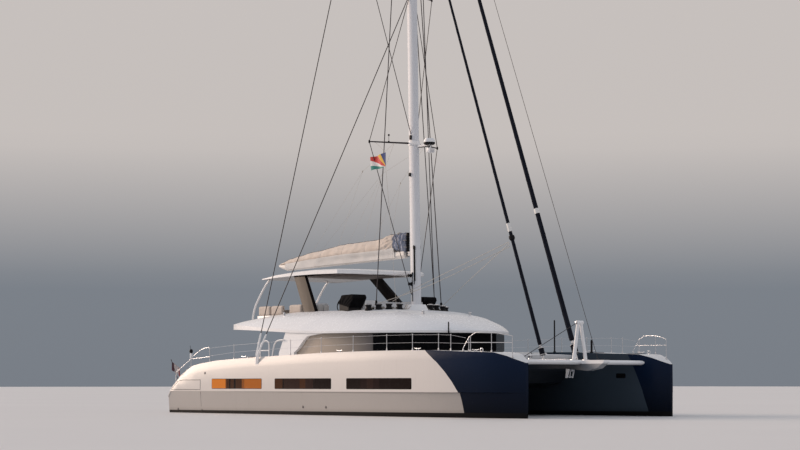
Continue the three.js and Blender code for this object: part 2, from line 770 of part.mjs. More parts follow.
function ovalRing(x, z, chord, width, sides, y = 0) {
  const ring = [];
  for (let i = 0; i < sides; i++) {
    const turn = (i / sides) * 2 * Math.PI;
    ring.push([x + (chord / 2) * Math.cos(turn), y + (width / 2) * Math.sin(turn), z]);
  }
  return ring;
}
const mastRing = (z, scale) =>
  ovalRing(mastX(z), z, MAST_SECTION.chord * scale, MAST_SECTION.width * scale, MAST_SECTION.sides);
const mast = loft([
  mastRing(MAST_STEP.z - 28, 1),
  mastRing(26000, 1),
  mastRing(MAST_TOP_Z, 0.62),
]);
const HOUNDS_Z = 34700; // cap shrouds
const mastCollar = (z) => loft([mastRing(z - 130, 1.12), mastRing(z + 130, 1.12)]);

// Three sets of spreaders: z, half-span, sweep aft at the tips
const SPREADERS = [
  ["lower", 12090, 2000, 710],
  ["middle", 18900, 1700, 600],
  ["upper", 25700, 1350, 480],
];
const spreaderTips = {};
for (const [name, z, span, sweep] of SPREADERS) {
  const x = mastX(z);
  spreaderTips[name] = [x - sweep, span, z];
  const arm = (side) => bar([x - 40, side * 100, z], [x - sweep, side * span, z], 42, 10, 28);
  const collar = loft([
    ovalRing(x, z - 90, MAST_SECTION.chord + 70, MAST_SECTION.width + 70, 20),
    ovalRing(x, z + 90, MAST_SECTION.chord + 70, MAST_SECTION.width + 70, 20),
  ]);
  const bracket = join(arm(1), arm(-1), collar).subtract(
    loft([
      ovalRing(mastX(z - 400), z - 400, MAST_SECTION.chord + 2, MAST_SECTION.width + 2, 20),
      ovalRing(mastX(z + 400), z + 400, MAST_SECTION.chord + 2, MAST_SECTION.width + 2, 20),
    ]),
  );
  add("spreaders_" + name, bracket, SPAR);
}

// Boom, with the stacked mainsail in its bag. It swings about the gooseneck pin.
const GOOSENECK = { x: mastX(7150) - 400, z: 7150, pin: 30 };
const BOOM_END_X = -10050;
const boomRing = ([x, bottom, height, width]) => [
  [x, -width / 2, bottom + height],
  [x, -width / 2, bottom + height * 0.45],
  [x, -width / 4, bottom],
  [x, width / 4, bottom],
  [x, width / 2, bottom + height * 0.45],
  [x, width / 2, bottom + height],
];
// x, bottom z, height, width
const boomBeam = loft(
  [
    [GOOSENECK.x - 250, 6960, 300, 280],
    [-5000, 6870, 350, 330],
    [-9400, 6780, 280, 300],
    [BOOM_END_X, 6960, 110, 200],
  ].map(boomRing),
);
const boomEye = join(
  block(GOOSENECK.x - 300, GOOSENECK.x + 60, -55, 55, 7060, 7130),
  block(GOOSENECK.x - 300, GOOSENECK.x + 60, -55, 55, 7170, 7240),
);
const lugPlate = block(GOOSENECK.x - 50, mastX(7150) - 200, -50, 50, 7135, 7165);
add("mast", join(mast, mastCollar(HOUNDS_Z), lugPlate), SPAR);
add("boom", boomBeam.add(boomEye), SPAR);

// Sail bag: x, bottom z, top z, width
const BAG_SECTIONS = [
  [GOOSENECK.x - 120, 7290, 8100, 430],
  [-1350, 7270, 8090, 560],
  [-2100, 7260, 7990, 620],
  [-3000, 7240, 7870, 620],
  [-4630, 7240, 7850, 600],
  [-6150, 7210, 7700, 540],
  [-8490, 7110, 7430, 420],
  [-9540, 7068, 7210, 300],
];
const bagRing = ([x, bottom, top, width]) => [
  [x, -width * 0.3, bottom],
  [x, width * 0.3, bottom],
  [x, width * 0.5, bottom + (top - bottom) * 0.35],
  [x, width * 0.42, bottom + (top - bottom) * 0.75],
  [x, width * 0.12, top],
  [x, -width * 0.12, top],
  [x, -width * 0.42, bottom + (top - bottom) * 0.75],
  [x, -width * 0.5, bottom + (top - bottom) * 0.35],
];
const bag = loft(BAG_SECTIONS.map(bagRing)).subtract(grown(boomBeam.add(boomEye), [0, 0, GAP]));
add("sail_bag", largest(bag), CANVAS);

// Longeron from the bridge deck to the bows, and the crossbeam on it
const LONGERON_OUTLINE = [
  [6942, 1960],
  [9700, 1960],
  [10950, 1860],
  [11500, 1960],
  [11880, 2200],
  [11880, 2290],
  [6942, 2290],
];
const longeron = profile(LONGERON_OUTLINE, -170, 170);
const beamRing = (y, tall, wide) => {
  const ring = [];
  for (let i = 0; i < 14; i++) {
    const turn = (i / 14) * 2 * Math.PI;
    ring.push([CROSSBEAM_X + (wide / 2) * Math.cos(turn), y, CROSSBEAM_Z + (tall / 2) * Math.sin(turn)]);
  }
  return ring;
};
const beamRoom = (halfLength, room) =>
  loft([
    beamRing(-halfLength, CROSSBEAM.tall + room, CROSSBEAM.wide + room),
    beamRing(halfLength, CROSSBEAM.tall + room, CROSSBEAM.wide + room),
  ]);
const crossbeam = loft([
  beamRing(-4000, CROSSBEAM.tall, CROSSBEAM.wide),
  beamRing(4000, CROSSBEAM.tall, CROSSBEAM.wide),
]).subtract(join(grown(hull, [0, -GAP, 0]), mirrored(grown(hull, [0, -GAP, 0]))));
add("crossbeam", largest(crossbeam), SPAR);
add(
  "longeron",
  longeron.subtract(beamRoom(400, 6)).subtract(
    block(CROSSBEAM_X - 173, CROSSBEAM_X + 173, -400, 400, CROSSBEAM_Z, 2500),
  ),
  WHITE,
);

// A-frame on the crossbeam that lifts the crossbeam's wire, and its feet
const STRIKER = {
  x: 10370,
  headZ: 3815,
  footY: 345,
  headY: 75,
  radius: 78,
  headRadius: 70,
  capHalf: 170,
  capRadius: 80,
};
const strikerLeg = (side) =>
  bar(
    [STRIKER.x, side * STRIKER.footY, CROSSBEAM_Z + 50],
    [STRIKER.x, side * STRIKER.headY, STRIKER.headZ],
    STRIKER.radius,
    12,
    STRIKER.headRadius,
  );
const strikerCap = bar(
  [STRIKER.x, -STRIKER.capHalf, STRIKER.headZ],
  [STRIKER.x, STRIKER.capHalf, STRIKER.headZ],
  STRIKER.capRadius,
  12,
);
const striker = join(strikerLeg(1), strikerLeg(-1), strikerCap).subtract(beamRoom(4000, 2));
add("striker", largest(striker), SPAR);

// Trampoline nets between the longeron, the hulls and the crossbeam
const NET = { x0: 6960, x1: CROSSBEAM_X - 185, innerY: 185, z: 2240, thick: 20 };
const net = plate(
  [
    [NET.x0, NET.innerY],
    [NET.x1, NET.innerY],
    [NET.x1, 4200],
    [NET.x0, 4200],
  ],
  NET.z,
  NET.z + NET.thick,
).subtract(grown(hull, [0, -GAP - 8, 0]));
addPair("trampoline", largest(net), BLACK);

// Anchor under the longeron: roller, shank, and a plough from its point to its heel
const anchor = join(
  block(9650, 9900, -35, 35, 1850, 1942),
  bar([9800, 0, 1900], [9760, 0, 1700], 36, 8),
  loft([
    [[9570, -20, 1540], [9570, 20, 1540], [9580, 0, 1580]],
    [[9960, -240, 1740], [9960, 240, 1740], [10010, 0, 1890]],
  ]),
);
add("anchor", anchor, STEEL);

// Stays: furled headsails and shrouds, straight between their fittings
const onMast = (z, ahead = 0) => [mastX(z) + ahead, 0, z];
const FORESTAYS = [
  // name, foot, head z, foot radius, head radius, foot fitting radius
  ["staysail_furled", [8300, 0, 2296], 24580, 80, 45, 110],
  ["genoa_furled", [10240, 0, 2296], 29700, 105, 60, 130],
];
for (const [name, foot, headZ, radius, headRadius, drum] of FORESTAYS) {
  const head = onMast(headZ, 345);
  const a = vec(foot);
  const b = vec(head);
  const at = (share) => a.clone().lerp(b, share);
  const made = join(
    bar(at(0), at(1), 16, 8),
    bar(at(0.012), at(0.022), drum, 16),
    bar(at(0.03), at(0.93), radius, 10, headRadius),
  );
  add(name, made.subtract(block(5000, 12000, -400, 400, 0, 2291)), SAIL);
}

// Shrouds share a chainplate on the outside of each hull: name, foot x, head z, head y
const CHAINPLATE = { y: 5310, z: 2150, topZ: 2780 };
const SHROUDS = [
  ["cap_shroud", -4640, HOUNDS_Z, 212],
  ["lower_shroud", -4520, 18750, 190],
];
const SHROUD_RADIUS = 20;
for (const [name, footX, headZ, headY] of SHROUDS) {
  const foot = bar(
    [footX, CHAINPLATE.y, CHAINPLATE.z],
    [footX + 20, CHAINPLATE.y - 30, CHAINPLATE.topZ],
    40,
    10,
  );
  const wire = bar(
    [footX + 18, CHAINPLATE.y - 25, CHAINPLATE.topZ - 60],
    [mastX(headZ) - 15, headY, headZ],
    SHROUD_RADIUS,
    8,
  );
  addPair(name, join(largest(foot.subtract(grown(bareHull, [0, 0, GAP], [0, GAP, 0]))), wire), ROD);
}

// Radome on a bracket ahead of the mast
const RADOME = { x: 1040, z: 12095, radius: 250, tall: 240 };
const radomeDrum = solid(
  new THREE.CylinderGeometry(RADOME.radius * 0.8, RADOME.radius, RADOME.tall, 24)
    .rotateX(Math.PI / 2)
    .translate(RADOME.x, 0, RADOME.z),
);
const radome = join(
  radomeDrum,
  block(mastX(11900) + 300, RADOME.x + 80, -60, 60, 11890, 11990),
);
add("radome", radome, WHITE);

// Guard rails: stern pushpit, lifelines and bow pulpit on each side
function alongHull(x, read) {
  const i = Math.max(1, HULL_STATIONS.findIndex((station) => station[0] >= x));
  const [a, b] = [HULL_STATIONS[i - 1], HULL_STATIONS[i]];
  return read(a) + ((read(b) - read(a)) * (x - a[0])) / (b[0] - a[0]);
}
const RAIL_INSET = 100; // from the deck's outer edge
const deckZ = (x) => alongHull(x, (station) => station[7]);
const edgeY = (x) => HULL_AXIS_Y + alongHull(x, (station) => station[4] - station[5]) - RAIL_INSET;
const railPoint = (x, height) => [x, edgeY(x), deckZ(x) + height];
const RAIL = { tall: 660, middle: 340, tube: 16, wire: 6 };
const STANCHION_X = [-10500, -8900, -6950, -4850, -2400, -200, 2000, 4200, 6400, 8700, 10150];
const STANCHION_EMBED = 60;

function guardRail() {
  const parts = STANCHION_X.map((x) =>
    bar(railPoint(x, -STANCHION_EMBED), railPoint(x, RAIL.tall), RAIL.tube, 8),
  );
  for (const height of [RAIL.middle, RAIL.tall - 10]) {
    const line = STANCHION_X.map((x) => railPoint(x, height));
    parts.push(railing(line.slice(1, 10), RAIL.wire + 2, 6));
    parts.push(railing(line.slice(0, 2), RAIL.tube, 8), railing(line.slice(9), RAIL.tube, 8));
  }
  return join(...parts).subtract(grown(bareHull, [0, 0, GAP]));
}
addPair("guard_rail", largest(guardRail()), STEEL);

// Platform between the sterns that lowers into the water, on two arms
const PLATFORM = { x0: -11550, x1: -9760, halfY: 2950, z0: 640, z1: 760 };
const platform = join(
  block(PLATFORM.x0, PLATFORM.x1, -PLATFORM.halfY, PLATFORM.halfY, PLATFORM.z0, PLATFORM.z1),
  block(PLATFORM.x1 - 200, PLATFORM.x1 + 140, -2300, -2180, PLATFORM.z0 + 20, 1900),
  block(PLATFORM.x1 - 200, PLATFORM.x1 + 140, 2180, 2300, PLATFORM.z0 + 20, 1900),
);
add("stern_platform", platform, TEAK);

export default root;
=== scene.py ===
"""Sailing catamaran, 23 m long: finishes, rig and deck gear around its solids.

Metres, +X to the bows, +Y to port, +Z up. The water's surface is at z = 0.
"""

import math

import bmesh
import bpy
from mathutils import Matrix, Vector, noise
from mathutils.bvhtree import BVHTree


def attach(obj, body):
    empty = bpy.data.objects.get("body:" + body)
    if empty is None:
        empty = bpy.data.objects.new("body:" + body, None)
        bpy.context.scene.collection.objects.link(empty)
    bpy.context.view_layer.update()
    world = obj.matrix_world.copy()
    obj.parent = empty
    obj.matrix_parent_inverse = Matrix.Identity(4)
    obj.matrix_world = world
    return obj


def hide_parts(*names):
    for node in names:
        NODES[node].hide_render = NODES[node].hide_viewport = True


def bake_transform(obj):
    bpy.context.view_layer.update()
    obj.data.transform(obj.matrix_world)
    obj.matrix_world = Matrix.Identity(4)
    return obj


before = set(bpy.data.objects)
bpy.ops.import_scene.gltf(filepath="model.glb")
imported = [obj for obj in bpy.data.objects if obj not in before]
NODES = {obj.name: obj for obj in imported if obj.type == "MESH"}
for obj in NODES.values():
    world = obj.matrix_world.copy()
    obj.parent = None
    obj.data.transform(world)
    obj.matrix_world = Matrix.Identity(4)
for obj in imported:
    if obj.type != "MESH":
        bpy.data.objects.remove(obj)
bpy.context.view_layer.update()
BOAT = "boat"
PORT, STARBOARD = 1, -1
SIDES = {"port": PORT, "starboard": STARBOARD}


# View, floor and light
VIEW_PLACE = (67.628, -57.159, 1.345)
VIEW_TURN_DEG = (94.568, 0.0, 50.209)
VIEW_LENS_MM = 89.38
VIEW_REACH = 1500.0
FLOOR_HALF = 700.0
KEY_DIRECTION = (-0.9, -0.38, 0.3)  # towards the low, warm light
KEY_STRENGTH = 2.9
KEY_SPREAD_DEG = 24.0
KEY_COLOR = (1.0, 0.78, 0.62)
# Rows of (share from straight down to straight up, colour): the light, and what is seen behind the boat
SKY_STOPS = [
    (0.0, (0.4, 0.4, 0.42)), (0.5, (0.5, 0.5, 0.53)), (0.62, (0.56, 0.58, 0.63)),
    (1.0, (0.52, 0.56, 0.64)),
]
BACKDROP_STOPS = [
    (0.5, (0.19, 0.21, 0.24)), (0.525, (0.2, 0.22, 0.25)), (0.56, (0.56, 0.52, 0.5)),
    (1.0, (0.66, 0.63, 0.63)),
]


def place_camera():
    data = bpy.data.cameras.new("camera")
    data.lens = VIEW_LENS_MM
    data.sensor_width = 36.0
    data.clip_start = 1.0
    data.clip_end = VIEW_REACH
    camera = bpy.data.objects.new("camera", data)
    camera.location = VIEW_PLACE
    camera.rotation_euler = [math.radians(angle) for angle in VIEW_TURN_DEG]
    bpy.context.scene.collection.objects.link(camera)
    bpy.context.scene.camera = camera


place_camera()


# Shader nodes
def join(tree, socket, value):
    """Sets a socket to a value, or links another node's output to it."""
    if isinstance(value, bpy.types.NodeSocket):
        tree.links.new(value, socket)
    elif isinstance(value, tuple) and len(value) == 3 and socket.type == "RGBA":
        socket.default_value = (*value, 1.0)
    else:
        socket.default_value = value


def node(tree, kind, settings=None, **sockets):
    """A shader node with its settings, and its input sockets by name."""
    made = tree.nodes.new("ShaderNode" + kind)
    for key, value in (settings or {}).items():
        setattr(made, key, value)
    for key, value in sockets.items():
        join(tree, made.inputs[key.replace("_", " ")], value)
    return made


def sums(tree, operation, *values):
    """The result of a Math node."""
    made = tree.nodes.new("ShaderNodeMath")
    made.operation = operation
    for socket, value in zip(made.inputs, values):
        join(tree, socket, value)
    return made.outputs[0]


def times(tree, first, second):
    return sums(tree, "MULTIPLY", first, second)


def plus(tree, first, second):
    return sums(tree, "ADD", first, second)


def minus(tree, first, second):
    return sums(tree, "SUBTRACT", first, second)


def scaled(tree, value, factor, start):
    """value * factor + start."""
    return sums(tree, "MULTIPLY_ADD", value, factor, start)


def blend_color(tree, share, first, second, mode="MIX"):
    """The first colour where the share is 0 and the second where it is 1."""
    made = tree.nodes.new("ShaderNodeMix")
    made.data_type = "RGBA"
    made.blend_type = mode
    for socket, value in zip((made.inputs[0], made.inputs[6], made.inputs[7]), (share, first, second)):
        join(tree, socket, value)
    return made.outputs[2]


def ramp(tree, share, stops, mode="LINEAR"):
    """A colour or grey from a share between 0 and 1, by rows of (place, colour or grey)."""
    made = tree.nodes.new("ShaderNodeValToRGB")
    made.color_ramp.interpolation = mode
    elements = made.color_ramp.elements
    while len(elements) < len(stops):
        elements.new(0.5)
    for element, (place, color) in zip(elements, stops):
        element.position = place
        element.color = (*color, 1.0) if isinstance(color, tuple) else (color, color, color, 1.0)
    join(tree, made.inputs[0], share)
    return made.outputs[0]


def step(tree, value, edge, softness):
    """0 below the edge and 1 above it, with a soft change."""
    made = node(tree, "MapRange", {"clamp": True}, Value=value, From_Min=edge, From_Max=edge + softness)
    return made.outputs[0]


def position(tree):
    """Where a point is, in metres along the boat's own axes, as (vector, x, y, z)."""
    place = node(tree, "TexCoord").outputs["Object"]
    split = node(tree, "SeparateXYZ", Vector=place)
    return (place, *split.outputs)


def facing(tree):
    """Which way the surface faces, as (x, y, z)."""
    return node(tree, "SeparateXYZ", Vector=node(tree, "NewGeometry").outputs["True Normal"]).outputs


def effect(name, inputs, outputs):
    """An empty node group with inputs of {label: (kind, value)} and outputs of {label: kind}."""
    tree = bpy.data.node_groups.new(name, "ShaderNodeTree")
    for label, (kind, value) in inputs.items():
        socket = tree.interface.new_socket(name=label, in_out="INPUT", socket_type="NodeSocket" + kind)
        socket.default_value = (*value, 1.0) if kind == "Color" else value
    for label, kind in outputs.items():
        tree.interface.new_socket(name=label, in_out="OUTPUT", socket_type="NodeSocket" + kind)
    return tree, tree.nodes.new("NodeGroupInput").outputs, tree.nodes.new("NodeGroupOutput").inputs


def relief(tree, height, strength, distance, **under):
    """A normal with bumps, over the one given as Normal."""
    return node(tree, "Bump", Height=height, Strength=strength, Distance=distance, **under).outputs[0]


def weathered_effect():
    """Colour and roughness that drift a little, and faint runs down the sides."""
    tree, given, out = effect(
        "weathered",
        {
            "Color": ("Color", (0.8, 0.8, 0.8)),
            "Stain": ("Color", (0.5, 0.45, 0.38)),
            "Drift": ("Float", 0.06),
            "Runs": ("Float", 0.12),
            "Roughness": ("Float", 0.3),
        },
        {"Color": "Color", "Roughness": "Float"},
    )
    place = position(tree)[0]
    broad = node(tree, "TexNoise", Vector=place, Scale=0.45, Detail=4.0).outputs[0]
    fine = node(tree, "TexNoise", Vector=place, Scale=9.0, Detail=6.0, Roughness=0.65).outputs[0]
    tall = node(tree, "Mapping", Vector=place, Scale=(5.0, 5.0, 0.35)).outputs[0]
    streak = node(tree, "TexNoise", Vector=tall, Scale=1.6, Detail=5.0, Roughness=0.6).outputs[0]
    runs = times(tree, step(tree, streak, 0.56, 0.16), given["Runs"])
    shade = scaled(tree, minus(tree, broad, 0.5), given["Drift"], 1.0)
    shade = scaled(tree, minus(tree, fine, 0.5), times(tree, given["Drift"], 0.5), shade)
    grey = node(tree, "CombineColor", Red=shade, Green=shade, Blue=shade).outputs[0]
    toned = blend_color(tree, 1.0, given["Color"], grey, "MULTIPLY")
    join(tree, out["Color"], blend_color(tree, runs, toned, given["Stain"], "MULTIPLY"))
    rough = scaled(tree, minus(tree, fine, 0.5), 0.18, given["Roughness"])
    join(tree, out["Roughness"], scaled(tree, runs, 0.3, rough))
    return tree


def orange_peel_effect():
    """The faint waves of sprayed paint over moulded panels."""
    tree, given, out = effect(
        "orange_peel",
        {"Waves": ("Float", 0.05), "Grain": ("Float", 0.02)},
        {"Normal": "Vector"},
    )
    place = position(tree)[0]
    waves = node(tree, "TexNoise", Vector=place, Scale=1.1, Detail=2.0).outputs[0]
    grain = node(tree, "TexNoise", Vector=place, Scale=160.0, Detail=2.0).outputs[0]
    fine = times(tree, times(tree, grain, given["Grain"]), 0.01)
    join(tree, out["Normal"], relief(tree, plus(tree, times(tree, waves, given["Waves"]), fine), 0.6, 0.1))
    return tree


def grit_effect():
    """Moulded non-skid: small raised dots with worn paths between them."""
    tree, given, out = effect(
        "grit",
        {"Color": ("Color", (0.7, 0.7, 0.68)), "Size": ("Float", 0.012), "Wear": ("Float", 0.12)},
        {"Color": "Color", "Height": "Float", "Roughness": "Float"},
    )
    place = position(tree)[0]
    rate = sums(tree, "DIVIDE", 1.0, given["Size"])
    dots = node(tree, "TexVoronoi", Vector=place, Scale=rate, Randomness=0.35).outputs["Distance"]
    raised = minus(tree, 1.0, step(tree, dots, 0.25, 0.2))
    paths = node(tree, "TexNoise", Vector=place, Scale=0.9, Detail=6.0, Roughness=0.6).outputs[0]
    worn = times(tree, step(tree, paths, 0.5, 0.2), given["Wear"])
    join(tree, out["Color"], blend_color(tree, worn, given["Color"], (0.46, 0.43, 0.39)))
    join(tree, out["Height"], raised)
    join(tree, out["Roughness"], scaled(tree, worn, 0.6, 0.62))
    return tree


def weave_effect():
    """Crossed threads darkened between them as painted shade, with a slow change of tone and lighter worn
    places.
    """
    tree, given, out = effect(
        "weave",
        {
            "Color": ("Color", (0.6, 0.55, 0.48)),
            "Shade": ("Color", (0.4, 0.36, 0.3)),
            "Thread": ("Float", 0.004),
            "Mottle": ("Float", 0.25),
        },
        {"Color": "Color", "Height": "Float", "Roughness": "Float"},
    )
    place, x, y, z = position(tree)
    rate = sums(tree, "DIVIDE", math.tau, given["Thread"])
    warp = sums(tree, "SINE", times(tree, plus(tree, x, y), rate))
    weft = sums(tree, "SINE", times(tree, minus(tree, plus(tree, y, z), x), rate))
    threads = scaled(tree, times(tree, warp, weft), 0.5, 0.5)
    slow = node(tree, "TexNoise", Vector=place, Scale=2.2, Detail=7.0, Roughness=0.62).outputs[0]
    tone = times(tree, step(tree, slow, 0.35, 0.35), given["Mottle"])
    # painted shade in the dips between threads
    tone = scaled(tree, minus(tree, 1.0, threads), 0.18, tone)
    join(tree, out["Color"], blend_color(tree, tone, given["Color"], given["Shade"]))
    join(tree, out["Height"], threads)
    join(tree, out["Roughness"], scaled(tree, slow, 0.16, 0.74))
    return tree


def brushed_effect():
    """Fine drawn lines and faint tarnish on metal."""
    tree, given, out = effect(
        "brushed",
        {"Color": ("Color", (0.7, 0.7, 0.72)), "Tarnish": ("Float", 0.15), "Roughness": ("Float", 0.22)},
        {"Color": "Color", "Roughness": "Float", "Height": "Float"},
    )
    place = position(tree)[0]
    drawn = node(tree, "Mapping", Vector=place, Scale=(1.0, 1.0, 14.0)).outputs[0]
    lines = node(tree, "TexNoise", Vector=drawn, Scale=38.0, Detail=3.0).outputs[0]
    cloud = node(tree, "TexNoise", Vector=place, Scale=3.5, Detail=6.0, Roughness=0.65).outputs[0]
    dull = times(tree, step(tree, cloud, 0.48, 0.22), given["Tarnish"])
    join(tree, out["Color"], blend_color(tree, dull, given["Color"], (0.42, 0.38, 0.35), "MULTIPLY"))
    rough = scaled(tree, lines, 0.14, given["Roughness"])
    join(tree, out["Roughness"], scaled(tree, dull, 0.7, rough))
    join(tree, out["Height"], lines)
    return tree


def planks_effect():
    """Laid teak: narrow planks along the boat, dark seams, and grain."""
    tree, given, out = effect(
        "planks",
        {"Width": ("Float", 0.07), "Seam": ("Float", 0.1), "Color": ("Color", (0.46, 0.31, 0.19))},
        {"Color": "Color", "Height": "Float", "Roughness": "Float"},
    )
    place, x, y, z = position(tree)
    across = sums(tree, "DIVIDE", y, given["Width"])
    part = sums(tree, "FRACT", plus(tree, across, 400.0))
    row = sums(tree, "FLOOR", across)
    seam = sums(tree, "LESS_THAN", part, given["Seam"])
    tone = node(tree, "TexWhiteNoise", {"noise_dimensions": "1D"}, W=row).outputs[0]
    grained = node(tree, "Mapping", Vector=place, Scale=(1.2, 22.0, 22.0)).outputs[0]
    grain = node(tree, "TexNoise", Vector=grained, Scale=3.0, Detail=8.0, Roughness=0.7).outputs[0]
    mixed = scaled(tree, tone, 0.35, times(tree, grain, 0.75))
    wood = blend_color(tree, mixed, (0.17, 0.1, 0.06), given["Color"])
    silver = node(tree, "TexNoise", Vector=place, Scale=1.4, Detail=5.0).outputs[0]
    bleached = times(tree, step(tree, silver, 0.42, 0.3), 0.35)
    wood = blend_color(tree, bleached, wood, (0.5, 0.47, 0.43))
    join(tree, out["Color"], blend_color(tree, seam, wood, (0.015, 0.015, 0.016)))
    join(tree, out["Height"], minus(tree, times(tree, grain, 0.3), seam))
    join(tree, out["Roughness"], scaled(tree, grain, 0.2, 0.55))
    return tree


EFFECTS = {tree.name: tree for tree in (
    weathered_effect(), orange_peel_effect(), grit_effect(), weave_effect(), brushed_effect(),
    planks_effect(),
)}


def use(tree, name, **sockets):
    """An effect placed in a material with its own values. Returns its outputs."""
    made = tree.nodes.new("ShaderNodeGroup")
    made.node_tree = EFFECTS[name]
    for key, value in sockets.items():
        join(tree, made.inputs[key], value)
    return made.outputs


# Finishes
WARM_WHITE = (0.66, 0.62, 0.59)
COOL_WHITE = (0.82, 0.82, 0.83)
NAVY = (0.005, 0.013, 0.036)
# slate of the inner sides, partly their paint and partly painted shade between the hulls
SLATE_WITH_PAINTED_SHADE = (0.04, 0.056, 0.076)
# painted shade under the bridge deck
UNDER_BRIDGE_PAINTED_SHADE = (0.022, 0.028, 0.038)
BOTTOM_BLACK = (0.004, 0.004, 0.005)
BEIGE = (0.44, 0.37, 0.31)
NONSKID = (0.74, 0.735, 0.73)
# painted shade on the undersides of the roof and hardtop
UNDER_ROOF_PAINTED_SHADE = (0.2, 0.17, 0.155)
UNDER_HARDTOP_PAINTED_SHADE = (0.05, 0.043, 0.042)
# painted shade on the pillars' faces away from the light
PILLAR_PAINTED_SHADE = (0.012, 0.011, 0.012)
SPREADER_DARK = (0.022, 0.015, 0.02)
# painted shade under the longeron
LONGERON_PAINTED_SHADE = (0.03, 0.04, 0.055)
ROD_DARK = (0.022, 0.018, 0.022)
# colour that darkens the hull just above the boot top
WATERLINE_DARKENING = (0.36, 0.34, 0.3)
# beige panels, partly painted warm light and painted shade under the roof's overhang
WALL_TONES_AND_SHADE = [  # share of the way forward, colour
    (0.0, (0.56, 0.47, 0.39)), (0.45, (0.4, 0.35, 0.3)), (0.9, (0.13, 0.12, 0.12)),
    (1.0, (0.02, 0.02, 0.022)),
]
GLASS_SALT = (0.2, 0.19, 0.18)


def dimmed(color, share):
    return tuple(share * part for part in color)


def finish(name, **shader):
    """A material with one Principled shader, whose plain values are set on its own sockets."""
    made = bpy.data.materials.new(name)
    made.use_nodes = True
    surface = made.node_tree.nodes["Principled BSDF"]
    for key, value in shader.items():
        join(made.node_tree, surface.inputs[key.replace("_", " ")], value)
    return made, made.node_tree, surface.inputs


def lay(tree, surface, color, roughness=None, normal=None):
    """Links a finish's colour, roughness and normal to its shader."""
    for label, value in (("Base Color", color), ("Roughness", roughness), ("Normal", normal)):
        if value is not None:
            join(tree, surface[label], value)


def painted(name, color, roughness, drift=0.07, runs=0.06, **shader):
    """Gelcoat or paint."""
    made, tree, surface = finish(name, **shader)
    skin = use(tree, "weathered", Color=color, Stain=(0.46, 0.42, 0.36), Drift=drift, Runs=runs,
               Roughness=roughness)
    lay(tree, surface, skin["Color"], skin["Roughness"], use(tree, "orange_peel")["Normal"])
    return made


def metal(name, color, roughness, tarnish, metallic=1.0, **shader):
    made, tree, surface = finish(name, Metallic=metallic, **shader)
    drawn = use(tree, "brushed", Color=color, Tarnish=tarnish, Roughness=roughness)
    lay(tree, surface, drawn["Color"], drawn["Roughness"], relief(tree, drawn["Height"], 0.3, 0.0006))
    return made


def cloth(name, color, shade, thread, mottle, depth=0.0012, strength=0.5, **shader):
    made, tree, surface = finish(name, **shader)
    woven = use(tree, "weave", Color=color, Shade=shade, Thread=thread, Mottle=mottle)
    lay(tree, surface, woven["Color"], woven["Roughness"], relief(tree, woven["Height"], strength, depth))
    return made


def teak(name):
    made, tree, surface = finish(name)
    laid = use(tree, "planks")
    lay(tree, surface, laid["Color"], laid["Roughness"], relief(tree, laid["Height"], 0.5, 0.004))
    return made


# Edge between the side and the dark bow: z, x
OUTER_EDGE = [
    (0.0, 8.7), (0.7, 8.715), (1.01, 8.69), (1.435, 8.355), (1.83, 7.975), (2.23, 7.5), (2.63, 6.76),
    (3.0, 6.2),
]
INNER_EDGE = [
    (0.0, 10.6), (0.53, 10.563), (1.04, 10.55), (1.56, 10.36), (2.03, 10.15), (2.6, 9.85), (3.0, 9.6),
]
EDGE_Z = 3.0
EDGE_X = (6.0, 12.0)
BOOT_TOP = (0.125, 0.2)  # z at the stern and at the bow
PAINT_LENGTH = 23.2
HULL_AXIS_Y = 4.1
STEPS_X = -8.4  # aft of this only the faces towards the middle are slate
DECK_SLOPE = 0.86  # a surface with a steeper normal than this is deck
KNUCKLE_Z = 1.0  # the outer side turns in below this
# painted shade: the white below the knuckle is dimmed to this share
KNUCKLE_PAINTED_SHADE = 0.67
BOW_PAINTED_SHADE = (0.3, 1.9, 0.3)  # painted shade: the bow's navy darkens below this z plus this height, to this share
SHOULDER = (0.3, 2.15)  # slope and height of the pale shoulder above an inner side
WATERLINE_BAND = (0.16, 0.25)  # height above the boot top, and strength


def edge_x(tree, z, rows):
    """x of a painted edge at height z."""
    low, high = EDGE_X
    stops = [(height / EDGE_Z, (x - low) / (high - low)) for height, x in rows]
    share = ramp(tree, sums(tree, "DIVIDE", z, EDGE_Z), stops)
    return scaled(tree, share, high - low, low)


